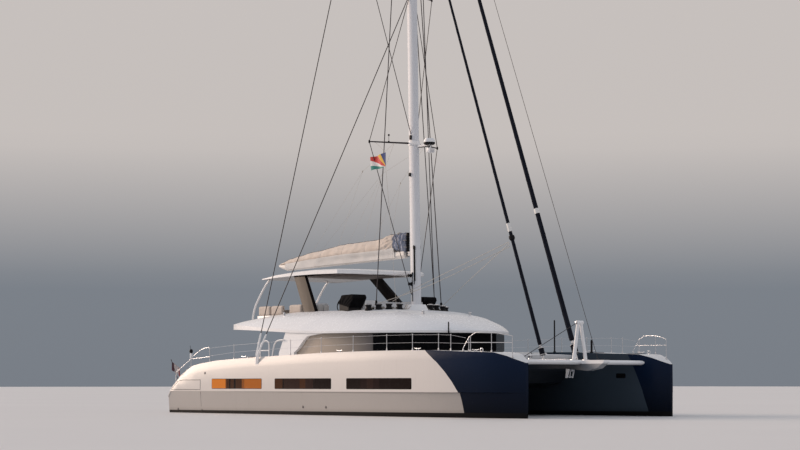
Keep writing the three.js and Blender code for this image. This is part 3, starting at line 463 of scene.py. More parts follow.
def hull_finish():
    """White outside with painted shade below the knuckle, slate inside darkened with painted shade between
    the hulls, navy bows with painted shade low down, black bottom and pale deck.
    """
    made, tree, surface = finish("hull_paint", Specular_IOR_Level=0.1)
    place, x, y, z = position(tree)
    across, upward = facing(tree)[1:]
    # the inner sides take the slate, darkened with painted shade
    inward = sums(tree, "LESS_THAN", times(tree, across, sums(tree, "SIGN", y)), -0.5)
    inner = sums(tree, "MAXIMUM", inward, sums(tree, "GREATER_THAN", x, STEPS_X))
    inner = times(tree, inner, sums(tree, "LESS_THAN", sums(tree, "ABSOLUTE", y), HULL_AXIS_Y))
    outer = minus(tree, 1.0, inner)
    ahead_outer = minus(tree, x, edge_x(tree, z, OUTER_EDGE))
    ahead_inner = minus(tree, x, edge_x(tree, z, INNER_EDGE))
    ahead = plus(tree, times(tree, ahead_inner, inner), times(tree, ahead_outer, outer))
    # painted shade: the outer side darkens below the knuckle
    shade_below_knuckle = minus(tree, 1.0, step(tree, z, KNUCKLE_Z, 0.02))
    white = blend_color(tree, shade_below_knuckle, WARM_WHITE, dimmed(WARM_WHITE, KNUCKLE_PAINTED_SHADE))
    side = blend_color(tree, inner, white, SLATE_WITH_PAINTED_SHADE)
    # painted shade: the navy darkens low on the bow
    bow_z, bow_height, bow_share = BOW_PAINTED_SHADE
    bow = blend_color(tree, step(tree, z, bow_z, bow_height), dimmed(NAVY, bow_share), NAVY)
    side = blend_color(tree, step(tree, ahead, 0.0, 0.004), side, bow)
    shoulder = times(tree, step(tree, upward, SHOULDER[0], 0.02), step(tree, z, SHOULDER[1], 0.02))
    deck = sums(tree, "MAXIMUM", step(tree, upward, DECK_SLOPE, 0.02), times(tree, shoulder, inner))
    boot = scaled(tree, x, (BOOT_TOP[1] - BOOT_TOP[0]) / PAINT_LENGTH, sum(BOOT_TOP) / 2)
    below = sums(tree, "LESS_THAN", z, boot)
    skin = use(tree, "weathered", Color=side, Stain=(0.4, 0.37, 0.33), Drift=0.05, Runs=0.05, Roughness=0.24)
    rough_deck = use(tree, "grit", Color=NONSKID)
    color = blend_color(tree, deck, skin["Color"], rough_deck["Color"])
    # the hull darkens in a band just above the boot top
    waterline_dark = times(tree, minus(tree, 1.0, step(tree, minus(tree, z, boot), 0.0, WATERLINE_BAND[0])), WATERLINE_BAND[1])
    color = blend_color(tree, waterline_dark, color, WATERLINE_DARKENING, "MULTIPLY")
    color = blend_color(tree, below, color, BOTTOM_BLACK)
    rough = sums(tree, "MAXIMUM", times(tree, deck, rough_deck["Roughness"]), skin["Roughness"])
    rough = sums(tree, "MAXIMUM", rough, times(tree, below, 0.6))
    flat = use(tree, "orange_peel", Waves=0.03)["Normal"]
    bumps = relief(tree, times(tree, rough_deck["Height"], deck), 0.4, 0.003, Normal=flat)
    lay(tree, surface, color, rough, bumps)
    return made


def topped_finish(name, side_color, top, floor_z, under=None):
    """Painted sides, with non-skid or teak on what faces up above floor_z. under is the colour of the painted
    shade on what faces down."""
    made, tree, surface = finish(name, Coat_Weight=0.1, Coat_Roughness=0.1, Specular_IOR_Level=0.35)
    place, x, y, z = position(tree)
    upward = facing(tree)[2]
    up = times(tree, step(tree, upward, 0.97, 0.01), step(tree, z, floor_z, 0.01))
    # painted shade on what faces down
    down = minus(tree, 1.0, step(tree, upward, -0.45, 0.05))
    color = blend_color(tree, down, side_color, under or side_color)
    skin = use(tree, "weathered", Color=color, Drift=0.05, Runs=0.05, Roughness=0.26)
    over = use(tree, "planks") if top == "teak" else use(tree, "grit", Color=NONSKID, Wear=0.04)
    rough = sums(tree, "MAXIMUM", times(tree, up, over["Roughness"]), skin["Roughness"])
    flat = use(tree, "orange_peel", Waves=0.03)["Normal"]
    bumps = relief(tree, times(tree, over["Height"], up), 0.4, 0.003, Normal=flat)
    lay(tree, surface, blend_color(tree, up, skin["Color"], over["Color"]), rough, bumps)
    return made


FLOOR_Z = (1.5, 2.2)  # the cockpit's teak floor lies between these


def bridge_finish():
    """Teak floor between white cockpit sides, and dark painted shade from the floor down."""
    made, tree, surface = finish("bridge_deck_paint", Specular_IOR_Level=0.2)
    place, x, y, z = position(tree)
    above = step(tree, z, FLOOR_Z[1], 0.02)
    # painted shade below the cockpit floor
    color = blend_color(tree, above, UNDER_BRIDGE_PAINTED_SHADE, COOL_WHITE)
    skin = use(tree, "weathered", Color=color, Drift=0.08, Runs=0.04, Roughness=0.4)
    over = use(tree, "planks")
    floor = times(tree, step(tree, facing(tree)[2], 0.9, 0.05), minus(tree, 1.0, above))
    floor = times(tree, floor, step(tree, z, FLOOR_Z[0], 0.01))
    rough = sums(tree, "MAXIMUM", times(tree, floor, over["Roughness"]), skin["Roughness"])
    bumps = relief(tree, times(tree, over["Height"], floor), 0.4, 0.003)
    lay(tree, surface, blend_color(tree, floor, skin["Color"], over["Color"]), rough, bumps)
    return made


def toned(name, color_at, roughness=0.4, runs=0.03, **shader):
    """Paint whose colour changes from place to place, as color_at(tree, x, y, z) gives it."""
    made, tree, surface = finish(name, **shader)
    place, x, y, z = position(tree)
    color = color_at(tree, x, y, z)
    skin = use(tree, "weathered", Color=color, Drift=0.08, Runs=runs, Roughness=roughness)
    lay(tree, surface, skin["Color"], skin["Roughness"], use(tree, "orange_peel", Waves=0.02)["Normal"])
    return made


def pillar_color(tree, x, y, z):
    """Beige on the outer face up to the hardtop, where the light falls, and black as painted shade elsewhere.
    """
    outward = times(tree, facing(tree)[1], sums(tree, "SIGN", y))
    pale = times(tree, step(tree, outward, 0.45, 0.05), minus(tree, 1.0, step(tree, z, 6.24, 0.01)))
    # painted shade: black on the faces away from the light
    return blend_color(tree, pale, PILLAR_PAINTED_SHADE, dimmed(BEIGE, 0.24))


def spreader_color(tree, x, y, z):
    """Dark arms on a white collar."""
    return blend_color(tree, step(tree, sums(tree, "ABSOLUTE", y), 0.25, 0.01), COOL_WHITE, SPREADER_DARK)


def longeron_color(tree, x, y, z):
    """White on top, and painted shade below that is paler forward."""
    forward = times(tree, step(tree, x, 10.2, 1.3), 0.35)
    pale = sums(tree, "MAXIMUM", step(tree, z, 2.14, 0.01), forward)
    return blend_color(tree, pale, LONGERON_PAINTED_SHADE, COOL_WHITE)


def wall_color(tree, x, y, z):
    """Beige side panels that darken forward to black around the windows; the beige and the darkening are
    partly painted warm light and painted shade under the roof's overhang.
    """
    return ramp(tree, step(tree, x, -2.6, 4.2), WALL_TONES_AND_SHADE)


def shroud_finish():
    """Dark rod above white covers at the deck."""
    made, tree, surface = finish("shroud_rod", Specular_IOR_Level=0.3)
    place, x, y, z = position(tree)
    drawn = use(tree, "brushed", Color=ROD_DARK, Tarnish=0.1, Roughness=0.5)
    color = blend_color(tree, step(tree, z, 3.0, 0.01), COOL_WHITE, drawn["Color"])
    lay(tree, surface, color, drawn["Roughness"], relief(tree, drawn["Height"], 0.3, 0.0006))
    return made


def glazing(name, color, roughness=0.05, panes=None, gloss=0.12):
    """Dark glass with a faint film of salt. panes paints reflections on it in bands along the boat, as rows
    of (x, colour) from aft."""
    made, tree, surface = finish(name, Specular_IOR_Level=gloss)
    place, x, y, z = position(tree)
    base = color
    if panes:
        low, high = panes[0][0], panes[-1][0]
        share = sums(tree, "DIVIDE", minus(tree, x, low), high - low)
        # painted reflections in bands along the boat
        base = ramp(tree, share, [((at - low) / (high - low), reflected_color) for at, reflected_color in panes], "CONSTANT")
    film = node(tree, "TexNoise", Vector=place, Scale=5.0, Detail=8.0, Roughness=0.7).outputs[0]
    salt = times(tree, step(tree, film, 0.52, 0.25), 0.035)
    lay(tree, surface, blend_color(tree, salt, base, GLASS_SALT), scaled(tree, salt, 1.6, roughness))
    return made


def antifouling():
    """Matt black bottom paint, patchy, with a green-grey bloom."""
    made, tree, surface = finish("bottom_paint")
    place = position(tree)[0]
    patch = node(tree, "TexNoise", Vector=place, Scale=2.4, Detail=9.0, Roughness=0.7).outputs[0]
    bloom = times(tree, step(tree, patch, 0.5, 0.25), 0.5)
    color = blend_color(tree, bloom, (0.01, 0.01, 0.012), (0.045, 0.05, 0.042))
    lay(tree, surface, color, scaled(tree, patch, 0.3, 0.6), relief(tree, patch, 0.4, 0.004))
    return made


def rope_finish(name, color, shade):
    """Laid rope with twisted strands."""
    made, tree, surface = finish(name, Roughness=0.85)
    place, x, y, z = position(tree)
    strand = sums(tree, "SINE", times(tree, plus(tree, plus(tree, x, y), z), 240.0))
    color = blend_color(tree, scaled(tree, strand, 0.35, 0.4), color, shade)
    lay(tree, surface, color, normal=relief(tree, strand, 0.5, 0.002))
    return made


FINISHES = {
    "hull": hull_finish(),
    "roof": topped_finish("roof_paint", COOL_WHITE, "grit", floor_z=3.6, under=UNDER_ROOF_PAINTED_SHADE),
    "hardtop": topped_finish("hardtop_paint", COOL_WHITE, "grit", floor_z=3.6, under=UNDER_HARDTOP_PAINTED_SHADE),
    "bridge": bridge_finish(),
    "pillar": toned("hardtop_pillar_paint", pillar_color, runs=0.05, Specular_IOR_Level=0.03),
    "shroud": shroud_finish(),
    "lining": painted("hardtop_lining", (0.155, 0.125, 0.115), 0.5, Specular_IOR_Level=0.2),
    "platform": topped_finish("platform_teak", COOL_WHITE, "teak", floor_z=0.7),
    "walls": toned("saloon_wall_paint", wall_color, 0.2, Coat_Weight=0.05, Specular_IOR_Level=0.15),
    "white": painted("white_paint", COOL_WHITE, 0.35, Specular_IOR_Level=0.2),
    "dark_panel": painted("dark_panel", (0.03, 0.029, 0.03), 0.5, drift=0.2, Specular_IOR_Level=0.1),
    "hatch": topped_finish("hatch_nonskid", COOL_WHITE, "grit", floor_z=2.0),
    "glass": glazing("dark_glass", (0.005, 0.005, 0.006), gloss=0.03),
    "bottom": antifouling(),
    "galvanised": metal("galvanised", (0.66, 0.68, 0.71), 0.5, 0.1, metallic=0.2),
    "longeron": toned("longeron_paint", longeron_color, Specular_IOR_Level=0.3),
    "spreader": toned("spreader_paint", spreader_color, Specular_IOR_Level=0.3),
    "bronze": metal("bronze", (0.55, 0.36, 0.16), 0.34, 0.5),
    "steel": metal("steel", (0.66, 0.67, 0.7), 0.22, 0.08),
    "engine": metal("engine_enamel", (0.2, 0.22, 0.23), 0.45, 0.3, metallic=0.3),
    "spar": painted("spar_paint", (0.68, 0.69, 0.72), 0.4, drift=0.05, runs=0.02, Specular_IOR_Level=0.08),
    "boom": painted("boom_paint", (0.74, 0.7, 0.66), 0.35, drift=0.08, runs=0.05),
    "rod": metal("dark_rod", ROD_DARK, 0.45, 0.1, metallic=0.3),
    "black": painted("black_fitting", (0.008, 0.008, 0.01), 0.5, drift=0.3, runs=0.0,
                     Specular_IOR_Level=0.12),
    "rolled_sail": cloth("rolled_sail", (0.008, 0.009, 0.015), (0.016, 0.018, 0.026), 0.006, 0.8, 0.001, 0.4,
                         Specular_IOR_Level=0.04),
    "bag": cloth("bag_cloth", (0.66, 0.57, 0.5), (0.42, 0.36, 0.31), 0.006, 0.5, Sheen_Weight=0.1),
    "skirt": cloth("skirt_cloth", (0.7, 0.68, 0.66), (0.54, 0.52, 0.5), 0.006, 0.4),
    "sail": cloth("folded_sail", (0.3, 0.33, 0.42), (0.05, 0.06, 0.1), 0.006, 0.85, Sheen_Weight=0.1),
    "cushion": cloth("cushion_cloth", (0.56, 0.48, 0.42), (0.38, 0.32, 0.27), 0.005, 0.3, Sheen_Weight=0.3),
    "seat": cloth("seat_cloth", (0.72, 0.7, 0.68), (0.52, 0.5, 0.48), 0.005, 0.25, Sheen_Weight=0.2),
    "cover": cloth("black_cover", (0.004, 0.004, 0.005), (0.012, 0.012, 0.014), 0.005, 0.6,
                   Specular_IOR_Level=0.04),
    "net": cloth("net_webbing", (0.02, 0.021, 0.024), (0.055, 0.055, 0.06), 0.006, 0.5),
    "tape": cloth("white_tape", (0.78, 0.77, 0.75), (0.6, 0.58, 0.55), 0.004, 0.2),
    "rope": rope_finish("pale_rope", (0.62, 0.58, 0.52), (0.36, 0.32, 0.28)),
    "dark_rope": rope_finish("dark_rope", (0.05, 0.04, 0.045), (0.015, 0.013, 0.015)),
    "teak": teak("teak"),
}

# Node's name without its side: finish
NODE_FINISH = {
    "hull": "hull", "keel": "bottom", "rudder": "bottom", "propeller": "bronze", "shaft_strut": "bronze",
    "engine": "engine", "engine_hatch": "hatch", "bridge_deck": "bridge", "saloon_walls": "walls",
    "saloon_glass": "glass", "saloon_glass_front": "glass", "door_fixed_leaf": "glass",
    "door_sliding_leaf": "glass", "roof_and_flybridge": "roof", "side_fin": "white",
    "flybridge_stair": "teak", "hardtop": "hardtop", "hardtop_strut": "white", "hardtop_pillar": "pillar",
    "helm_console": "dark_panel", "helm_wheel": "steel", "helm_seat": "seat", "flybridge_sofa": "cushion",
    "cockpit_sofa": "cushion", "mast": "spar", "spreaders_lower": "spreader", "spreaders_middle": "spreader",
    "spreaders_upper": "spreader", "boom": "boom", "sail_bag": "bag", "crossbeam": "white",
    "longeron": "longeron", "striker": "white", "trampoline": "net", "anchor": "steel",
    "staysail_furled": "rolled_sail", "genoa_furled": "rolled_sail", "cap_shroud": "shroud",
    "lower_shroud": "shroud", "radome": "white", "guard_rail": "steel", "stern_platform": "platform",
}


CRISP_DEG = 21.0
HULL_CRISP_DEG = 40.0


def dress_nodes():
    """Gives each node its finish. Edges sharper than its crisp angle stay crisp and the rest are smooth."""
    for name, obj in NODES.items():
        family = name.removesuffix("_port").removesuffix("_starboard")
        obj.data.materials.clear()
        obj.data.materials.append(FINISHES[NODE_FINISH[family]])
        obj.data.shade_smooth()
        weld = obj.modifiers.new("weld", "WELD")
        weld.merge_threshold = 0.0004
        split = obj.modifiers.new("crisp", "EDGE_SPLIT")
        split.split_angle = math.radians(HULL_CRISP_DEG if family == "hull" else CRISP_DEG)
        normals = obj.modifiers.new("normals", "WEIGHTED_NORMAL")
        normals.keep_sharp = True


dress_nodes()


# Solid pieces from mesh code
def settle(name, bm, look, body=BOAT, sharp_deg=32.0):
    """Turns a built mesh into a piece that rides on a body, or on none when body is None."""
    bmesh.ops.remove_doubles(bm, verts=bm.verts, dist=1e-5)
    bmesh.ops.recalc_face_normals(bm, faces=bm.faces)
    mesh = bpy.data.meshes.new(name)
    bm.to_mesh(mesh)
    bm.free()
    mesh.shade_smooth()
    mesh.set_sharp_from_angle(angle=math.radians(sharp_deg))
    mesh.materials.append(FINISHES[look])
    obj = bpy.data.objects.new(name, mesh)
    bpy.context.scene.collection.objects.link(obj)
    if body:
        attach(obj, body)
    return obj


def skin_rings(bm, rings, closed=True):
    """Faces between rows of points. Closed rows join their own ends, and get caps at the first and last."""
    rows = [[bm.verts.new(p) for p in ring] for ring in rings]
    count = len(rows[0])
    span = count if closed else count - 1
    for a, b in zip(rows, rows[1:]):
        for i in range(span):
            j = (i + 1) % count
            bm.faces.new((a[i], a[j], b[j], b[i]))
    if closed:
        bm.faces.new(rows[0][::-1])
        bm.faces.new(rows[-1])


def angles(count, closed=False):
    """Angles round a circle, with the first again at the end when closed."""
    return [k * math.tau / count for k in range(count + closed)]


def smooth_line(points, steps=6):
    """Points along a smooth curve through the given ones."""
    points = [Vector(p) for p in points]
    padded = [points[0] * 2 - points[1], *points, points[-1] * 2 - points[-2]]
    line = []
    for a, b, c, d in zip(padded, padded[1:], padded[2:], padded[3:]):
        for i in range(steps):
            t = i / steps
            bend = (2 * a - 5 * b + 4 * c - d) * t * t + (3 * b - a - 3 * c + d) * t ** 3
            line.append(0.5 * (2 * b + (c - a) * t + bend))
    return [*line, points[-1]]


def add_tube(bm, points, radius, sides=8, end_radius=None):
    """A round bar along a line of points."""
    points = [Vector(p) for p in points]
    end_radius = radius if end_radius is None else end_radius
    along = (points[1] - points[0]).normalized()
    side = along.orthogonal().normalized()
    rings = []
    for i, here in enumerate(points):
        ahead = points[min(i + 1, len(points) - 1)] - points[max(i - 1, 0)]
        turn = along.rotation_difference(ahead.normalized())
        side = (turn @ side).normalized()
        along = ahead.normalized()
        other = along.cross(side)
        share = i / (len(points) - 1)
        size = radius + (end_radius - radius) * share
        rings.append([here + (side * math.cos(a) + other * math.sin(a)) * size for a in angles(sides)])
    skin_rings(bm, rings)


def add_lathe(bm, outline, place, sides=20, axis=(0, 0, 1)):
    """A turned shape: outline rows are (radius, height) along the axis from place."""
    turn = Vector((0, 0, 1)).rotation_difference(Vector(axis)).to_matrix()
    rings = []
    for radius, height in outline:
        ring = [Vector((radius * math.cos(a), radius * math.sin(a), height)) for a in angles(sides)]
        rings.append([turn @ p + Vector(place) for p in ring])
    skin_rings(bm, rings)


def add_block(bm, low, high, round_off=0.01, turn=None):
    """A box with rounded edges. turn is a matrix about its centre."""
    low, high = Vector(low), Vector(high)
    made = bmesh.ops.create_cube(bm, size=1.0)["verts"]
    size = Matrix.Diagonal((*(high - low), 1.0))
    matrix = Matrix.Translation((low + high) / 2) @ (turn or Matrix.Identity(4)) @ size
    bmesh.ops.transform(bm, matrix=matrix, verts=made)
    edges = list({e for v in made for e in v.link_edges})
    bmesh.ops.bevel(bm, geom=edges, offset=round_off, segments=2, profile=0.5, affect="EDGES")


def build(name, look, body=BOAT, blocks=(), turned=(), bars=()):
    """A piece from rows of arguments for its blocks, turned shapes and round bars."""
    bm = bmesh.new()
    for add, rows in ((add_block, blocks), (add_lathe, turned), (add_tube, bars)):
        for row_values in rows:
            add(bm, *row_values)
    return settle(name, bm, look, body)


# Surfaces of the solids, to seat fittings on
def surface_of(*names):
    """A tree of the named nodes' faces, for casting rays at."""
    points, faces = [], []
    for name in names:
        mesh = NODES[name].data
        start = len(points)
        points += [v.co.copy() for v in mesh.vertices]
        faces += [[start + i for i in p.vertices] for p in mesh.polygons]
    return BVHTree.FromPolygons(points, faces)


HULL_NODES = ("hull_port", "hull_starboard")
HULLS = surface_of(*HULL_NODES)
DECKS = surface_of(*HULL_NODES, "bridge_deck", "roof_and_flybridge", "longeron", "crossbeam")
ROOF = surface_of("roof_and_flybridge")
ABOVE = 60.0


def deck_z(x, y, surface=DECKS):
    """Height of the first surface under a point."""
    return surface.ray_cast(Vector((x, y, ABOVE)), Vector((0, 0, -1)))[0].z


def hull_y(x, z, side):
    """Outer face of a hull at this x and z."""
    return HULLS.ray_cast(Vector((x, side * 12.0, z)), Vector((0, -side, 0)))[0].y


PANEL_DEPTH = 0.03


def add_side_panel(bm, columns, side, out):
    """A thin panel on a hull's outer face. columns are (x, low z, high z)."""
    rings = []
    for x, low, high in columns:
        faces = [(z, hull_y(x, z, side)) for z in (low, high)]
        outer = [(x, y + side * out, z) for z, y in faces]
        rings.append(outer + [(x, y + side * (out - PANEL_DEPTH), z) for z, y in faces[::-1]])
    skin_rings(bm, rings)


CORNER_STEPS, PANEL_STEPS = 5, 8


def rounded_columns(x0, x1, z0, z1, corner):
    """Columns of a rounded rectangle on a side: (x, low z, high z)."""
    columns = []
    for i in range(CORNER_STEPS + 1):
        turn = math.pi / 2 * (1 - i / CORNER_STEPS)
        drop = corner * (1 - math.cos(turn))
        columns.append((x0 + corner * (1 - math.sin(turn)), z0 + drop, z1 - drop))
    straight = (x1 - x0 - 2 * corner) / PANEL_STEPS
    middle = [(x0 + corner + straight * i, z0, z1) for i in range(1, PANEL_STEPS)]
    back = [(x0 + x1 - x, low, high) for x, low, high in reversed(columns)]
    return [*columns, *middle, *back]


# Hull windows: name, aft x, forward x, panes as rows of (x, colour of the painted reflection)
# painted reflections of warm light in the hull windows
REFLECTED_AMBER = (0.66, 0.21, 0.03)
REFLECTED_GOLD = (0.42, 0.13, 0.022)
REFLECTED_TAN = (0.26, 0.085, 0.02)
REFLECTED_BROWN = (0.06, 0.024, 0.01)
REFLECTED_SOFT = (0.03, 0.015, 0.011)
REFLECTED_DIM = (0.02, 0.01, 0.008)
DARK = (0.012, 0.006, 0.004)
HULL_WINDOWS = [
    ("aft", -7.98, -4.12, [(-7.9, REFLECTED_AMBER), (-6.9, REFLECTED_TAN), (-6.84, REFLECTED_BROWN), (-6.62, DARK), (-6.5, REFLECTED_BROWN),
                           (-6.25, DARK), (-6.1, REFLECTED_BROWN), (-5.62, REFLECTED_TAN), (-5.42, REFLECTED_GOLD), (-4.0, REFLECTED_GOLD)]),
    ("middle", -3.11, 0.89, [(-3.2, REFLECTED_BROWN), (-2.55, DARK), (-2.45, REFLECTED_SOFT), (-1.3, REFLECTED_BROWN), (-0.9, REFLECTED_SOFT),
                             (-0.35, DARK), (1.0, DARK)]),
    ("fore", 1.96, 6.07, [(1.8, DARK), (2.9, REFLECTED_DIM), (3.3, REFLECTED_SOFT), (3.7, REFLECTED_DIM), (4.1, DARK), (6.2, DARK)]),
]
WINDOW_Z = (1.135, 1.555)
FRAME_LAP = 0.02
for label, aft, fore, panes in HULL_WINDOWS:
    FINISHES["window_" + label] = glazing("hull_window_" + label, DARK, 0.07, panes)
for side_name, side in SIDES.items():
    frames = bmesh.new()
    for label, aft, fore, panes in HULL_WINDOWS:
        bm = bmesh.new()
        add_side_panel(bm, rounded_columns(aft, fore, *WINDOW_Z, 0.035), side, 0.006)
        settle(f"hull_window_{label}_{side_name}", bm, "window_" + label)
        opening = (aft - FRAME_LAP, fore + FRAME_LAP, WINDOW_Z[0] - FRAME_LAP, WINDOW_Z[1] + FRAME_LAP)
        add_side_panel(frames, rounded_columns(*opening, 0.05), side, 0.003)
    settle(f"hull_window_frames_{side_name}", frames, "black")

# Deck line of the port hull from the stern: x, y of the deck's edge, deck z
DECK_LINE = [
    (-11.6, 5.32, 0.95), (-11.4, 5.3, 1.23), (-10.75, 5.25, 1.75), (-9.92, 5.2, 2.16),
    (-9.3, 5.18, 2.27), (-8.0, 5.17, 2.4), (-6.0, 5.17, 2.49), (-3.0, 5.17, 2.58), (0.0, 5.17, 2.665),
    (3.0, 5.16, 2.7), (5.0, 5.13, 2.705), (6.95, 5.065, 2.69), (8.0, 5.01, 2.65), (9.0, 4.935, 2.61),
    (9.8, 4.845, 2.59), (10.4, 4.73, 2.56), (10.9, 4.555, 2.43), (11.3, 4.355, 2.27),
    (11.6, 4.162, 2.15),
]


RAIL_INSET = 0.1


def rail_point(x, side, up):
    """A point over the deck's edge at x."""
    for (x0, y0, z0), (x1, y1, z1) in zip(DECK_LINE, DECK_LINE[1:]):
        if x <= x1:
            break
    share = (x - x0) / (x1 - x0)
    return (x, side * (y0 + (y1 - y0) * share - RAIL_INSET), z0 + (z1 - z0) * share + up)


def heights(x, side, z):
    """A point over the deck's edge at x, at a height above the water."""
    point = rail_point(x, side, 0.0)
    return (x, point[1], z)


RAIL_TUBE, RAIL_WIRE, RAIL_TALL, RAIL_MIDDLE = 0.0135, 0.005, 0.65, 0.31
STANCHION_X = [-6.7, -4.85, -2.4, -0.2, 2.0, 4.2, 5.8, 7.35, 8.05]
# Rails as rows of (x, z) over the deck's edge
STERN_ARCH = [
    (-10.12, 2.52), (-9.94, 2.63), (-9.61, 2.79), (-9.28, 2.93), (-8.95, 2.99), (-8.72, 3.0), (-8.64, 2.9),
    (-8.63, 2.33),
]
STERN_SLOPE = [(-10.12, 2.5), (-10.6, 2.24), (-11.12, 1.95), (-11.25, 1.8), (-11.27, 1.33)]
BOW_RAIL = [
    (8.74, 2.58), (8.74, 2.75), (8.92, 2.99), (9.04, 3.16), (9.13, 3.22), (9.37, 3.335), (9.53, 3.36),
    (9.79, 3.363), (10.19, 3.35), (10.58, 3.29), (11.07, 3.2),
]
STRAIGHT_RAILS = [[(-10.1, 2.5), (-8.63, 2.59)], [(-10.12, 2.05), (-10.12, 2.56)],
                  [(8.92, 2.97), (10.19, 2.95), (11.07, 2.94)]]
BOW_POSTS = [(9.044, 3.16), (9.133, 3.22), (10.194, 3.35), (11.07, 3.2)]  # x, top z
LIFELINES = [(RAIL_TALL - 0.02, 2.98, 3.15), (RAIL_MIDDLE, 2.62, 2.93)]  # above the deck, z aft and forward
STAIR_HOOPS = [
    [(-5.93, 2.46), (-5.96, 2.87), (-5.9, 3.1), (-5.74, 3.24), (-5.5, 3.28), (-5.35, 3.24), (-5.28, 3.1),
     (-5.27, 2.48)],
    [(-5.04, 2.48), (-4.99, 2.75), (-4.88, 3.08), (-4.74, 3.23), (-4.59, 3.28), (-4.42, 3.3), (-4.18, 3.3)],
]
STAIR_HOOP_Y = 4.14
POST_CAP = [(0.012, -0.02), (0.024, 0.0), (0.024, 0.012), (0.01, 0.026)]
LIGHT_POST = [(0.02, -0.1), (0.05, -0.06), (0.055, 0.0), (0.055, 0.16), (0.03, 0.2)]
LAMP = [(0.02, 0.0), (0.075, 0.03), (0.085, 0.1), (0.07, 0.17), (0.02, 0.2)]


def add_socket(bm, point, radius=0.017):
    """A round base that a post stands in."""
    outline = [(0.055, -0.01), (0.055, 0.008), (0.03, 0.02), (radius + 0.008, 0.09), (radius, 0.095)]
    add_lathe(bm, outline, point, 14)


for side_name, side in SIDES.items():
    bm = bmesh.new()
    for x in STANCHION_X:
        add_tube(bm, [rail_point(x, side, -0.02), rail_point(x, side, RAIL_TALL)], RAIL_TUBE, 10)
        add_lathe(bm, POST_CAP, rail_point(x, side, RAIL_TALL), 10)
        add_socket(bm, rail_point(x, side, 0.0))
    for rail in (STERN_ARCH, BOW_RAIL):
        add_tube(bm, smooth_line([heights(x, side, z) for x, z in rail], 5), RAIL_TUBE + 0.001, 12)
    add_tube(bm, smooth_line([heights(x, side, z) for x, z in STERN_SLOPE]), RAIL_TUBE, 10)
    for rail in STRAIGHT_RAILS:
        add_tube(bm, [heights(x, side, z) for x, z in rail], RAIL_TUBE, 10)
    for x, top in BOW_POSTS:
        add_tube(bm, [rail_point(x, side, -0.02), heights(x, side, top)], RAIL_TUBE, 10)
    for x in (8.74, -8.63, -10.12, *(x for x, top in BOW_POSTS)):
        add_socket(bm, rail_point(x, side, 0.0), 0.02)
    rails = settle("rails_" + side_name, bm, "steel")
    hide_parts("guard_rail_" + side_name)
    bm = bmesh.new()
    for up, aft_z, fore_z in LIFELINES:
        posts = [rail_point(x, side, up) for x in STANCHION_X]
        add_tube(bm, [heights(-8.66, side, aft_z), *posts, heights(8.9, side, fore_z)], RAIL_WIRE, 6)
    settle("lifelines_" + side_name, bm, "steel")
    hoop_y = side * STAIR_HOOP_Y
    hoops = [(smooth_line([(x, hoop_y, z) for x, z in hoop], 5), 0.03, 12) for hoop in STAIR_HOOPS]
    hoops.append(([(x, hoop_y, 2.84) for x in (-5.95, -5.28)], 0.022, 10))
    build("stair_hoops_" + side_name, "white", bars=hoops)
    build("stern_light_post_" + side_name, "white",
          turned=[(LIGHT_POST, heights(-10.12, side, 2.58), 14)])
    build("stern_lamp_" + side_name, "black",
          turned=[(LAMP, heights(-10.12, side, 2.76), 16)],
          bars=[([heights(-10.14, side, 2.86), heights(-10.2, side, 3.12)], 0.008, 6)])

# Rigging
MAST_RAKE = math.tan(math.radians(1.13))


def mast_x(z, ahead=0.0):
    """x on the mast's raked axis, or ahead of it."""
    return 0.12 - MAST_RAKE * (z - 4.88) + ahead


SPREADER_TIPS = {  # z, half span, sweep
    "lower": (12.09, 2.0, 0.71), "middle": (18.9, 1.7, 0.6), "upper": (25.7, 1.35, 0.48),
}
# Stays from each spreader's tip to the mast: spreader, ahead of the mast's axis, y, z
DIAMONDS = [
    ("lower", 0.0, 0.16, 18.75), ("middle", 0.0, 0.16, 25.55), ("upper", 0.0, 0.11, 33.2),
    ("lower", -0.1, 0.17, 5.3), ("middle", 0.0, 0.17, 12.5), ("upper", 0.0, 0.17, 19.2),
]
SHROUDS = [  # foot, head
    ((-4.622, 5.285, 2.72), (mast_x(34.7) - 0.015, 0.212, 34.7)),
    ((-4.502, 5.285, 2.72), (mast_x(18.75) - 0.015, 0.19, 18.75)),
]
# Cover over a shroud's lower end: from and to along it, and the radius at both
TURNBUCKLE = [(-0.16, -0.1, 0.025, 0.042), (-0.1, 0.82, 0.042, 0.038), (0.82, 0.9, 0.038, 0.02)]
RUNNERS = {"port": (-0.45, 2.0, 24.6), "starboard": (-0.25, -2.0, 32.0)}  # foot's x and y, head's z
RUNNER_BLOCK = [(0.02, 0.0), (0.05, 0.02), (0.055, 0.2), (0.02, 0.24)]
SPREADER_BOOT = [(0.01, -0.07), (0.035, -0.06), (0.045, 0.0), (0.035, 0.06), (0.01, 0.07)]


def tip(name, side):
    z, half, sweep = SPREADER_TIPS[name]
    return (mast_x(z) - sweep, half * side, z)


def wires(name, look, radius, lines, sides=6):
    return build(name, look, bars=[(line, radius, sides) for line in lines])


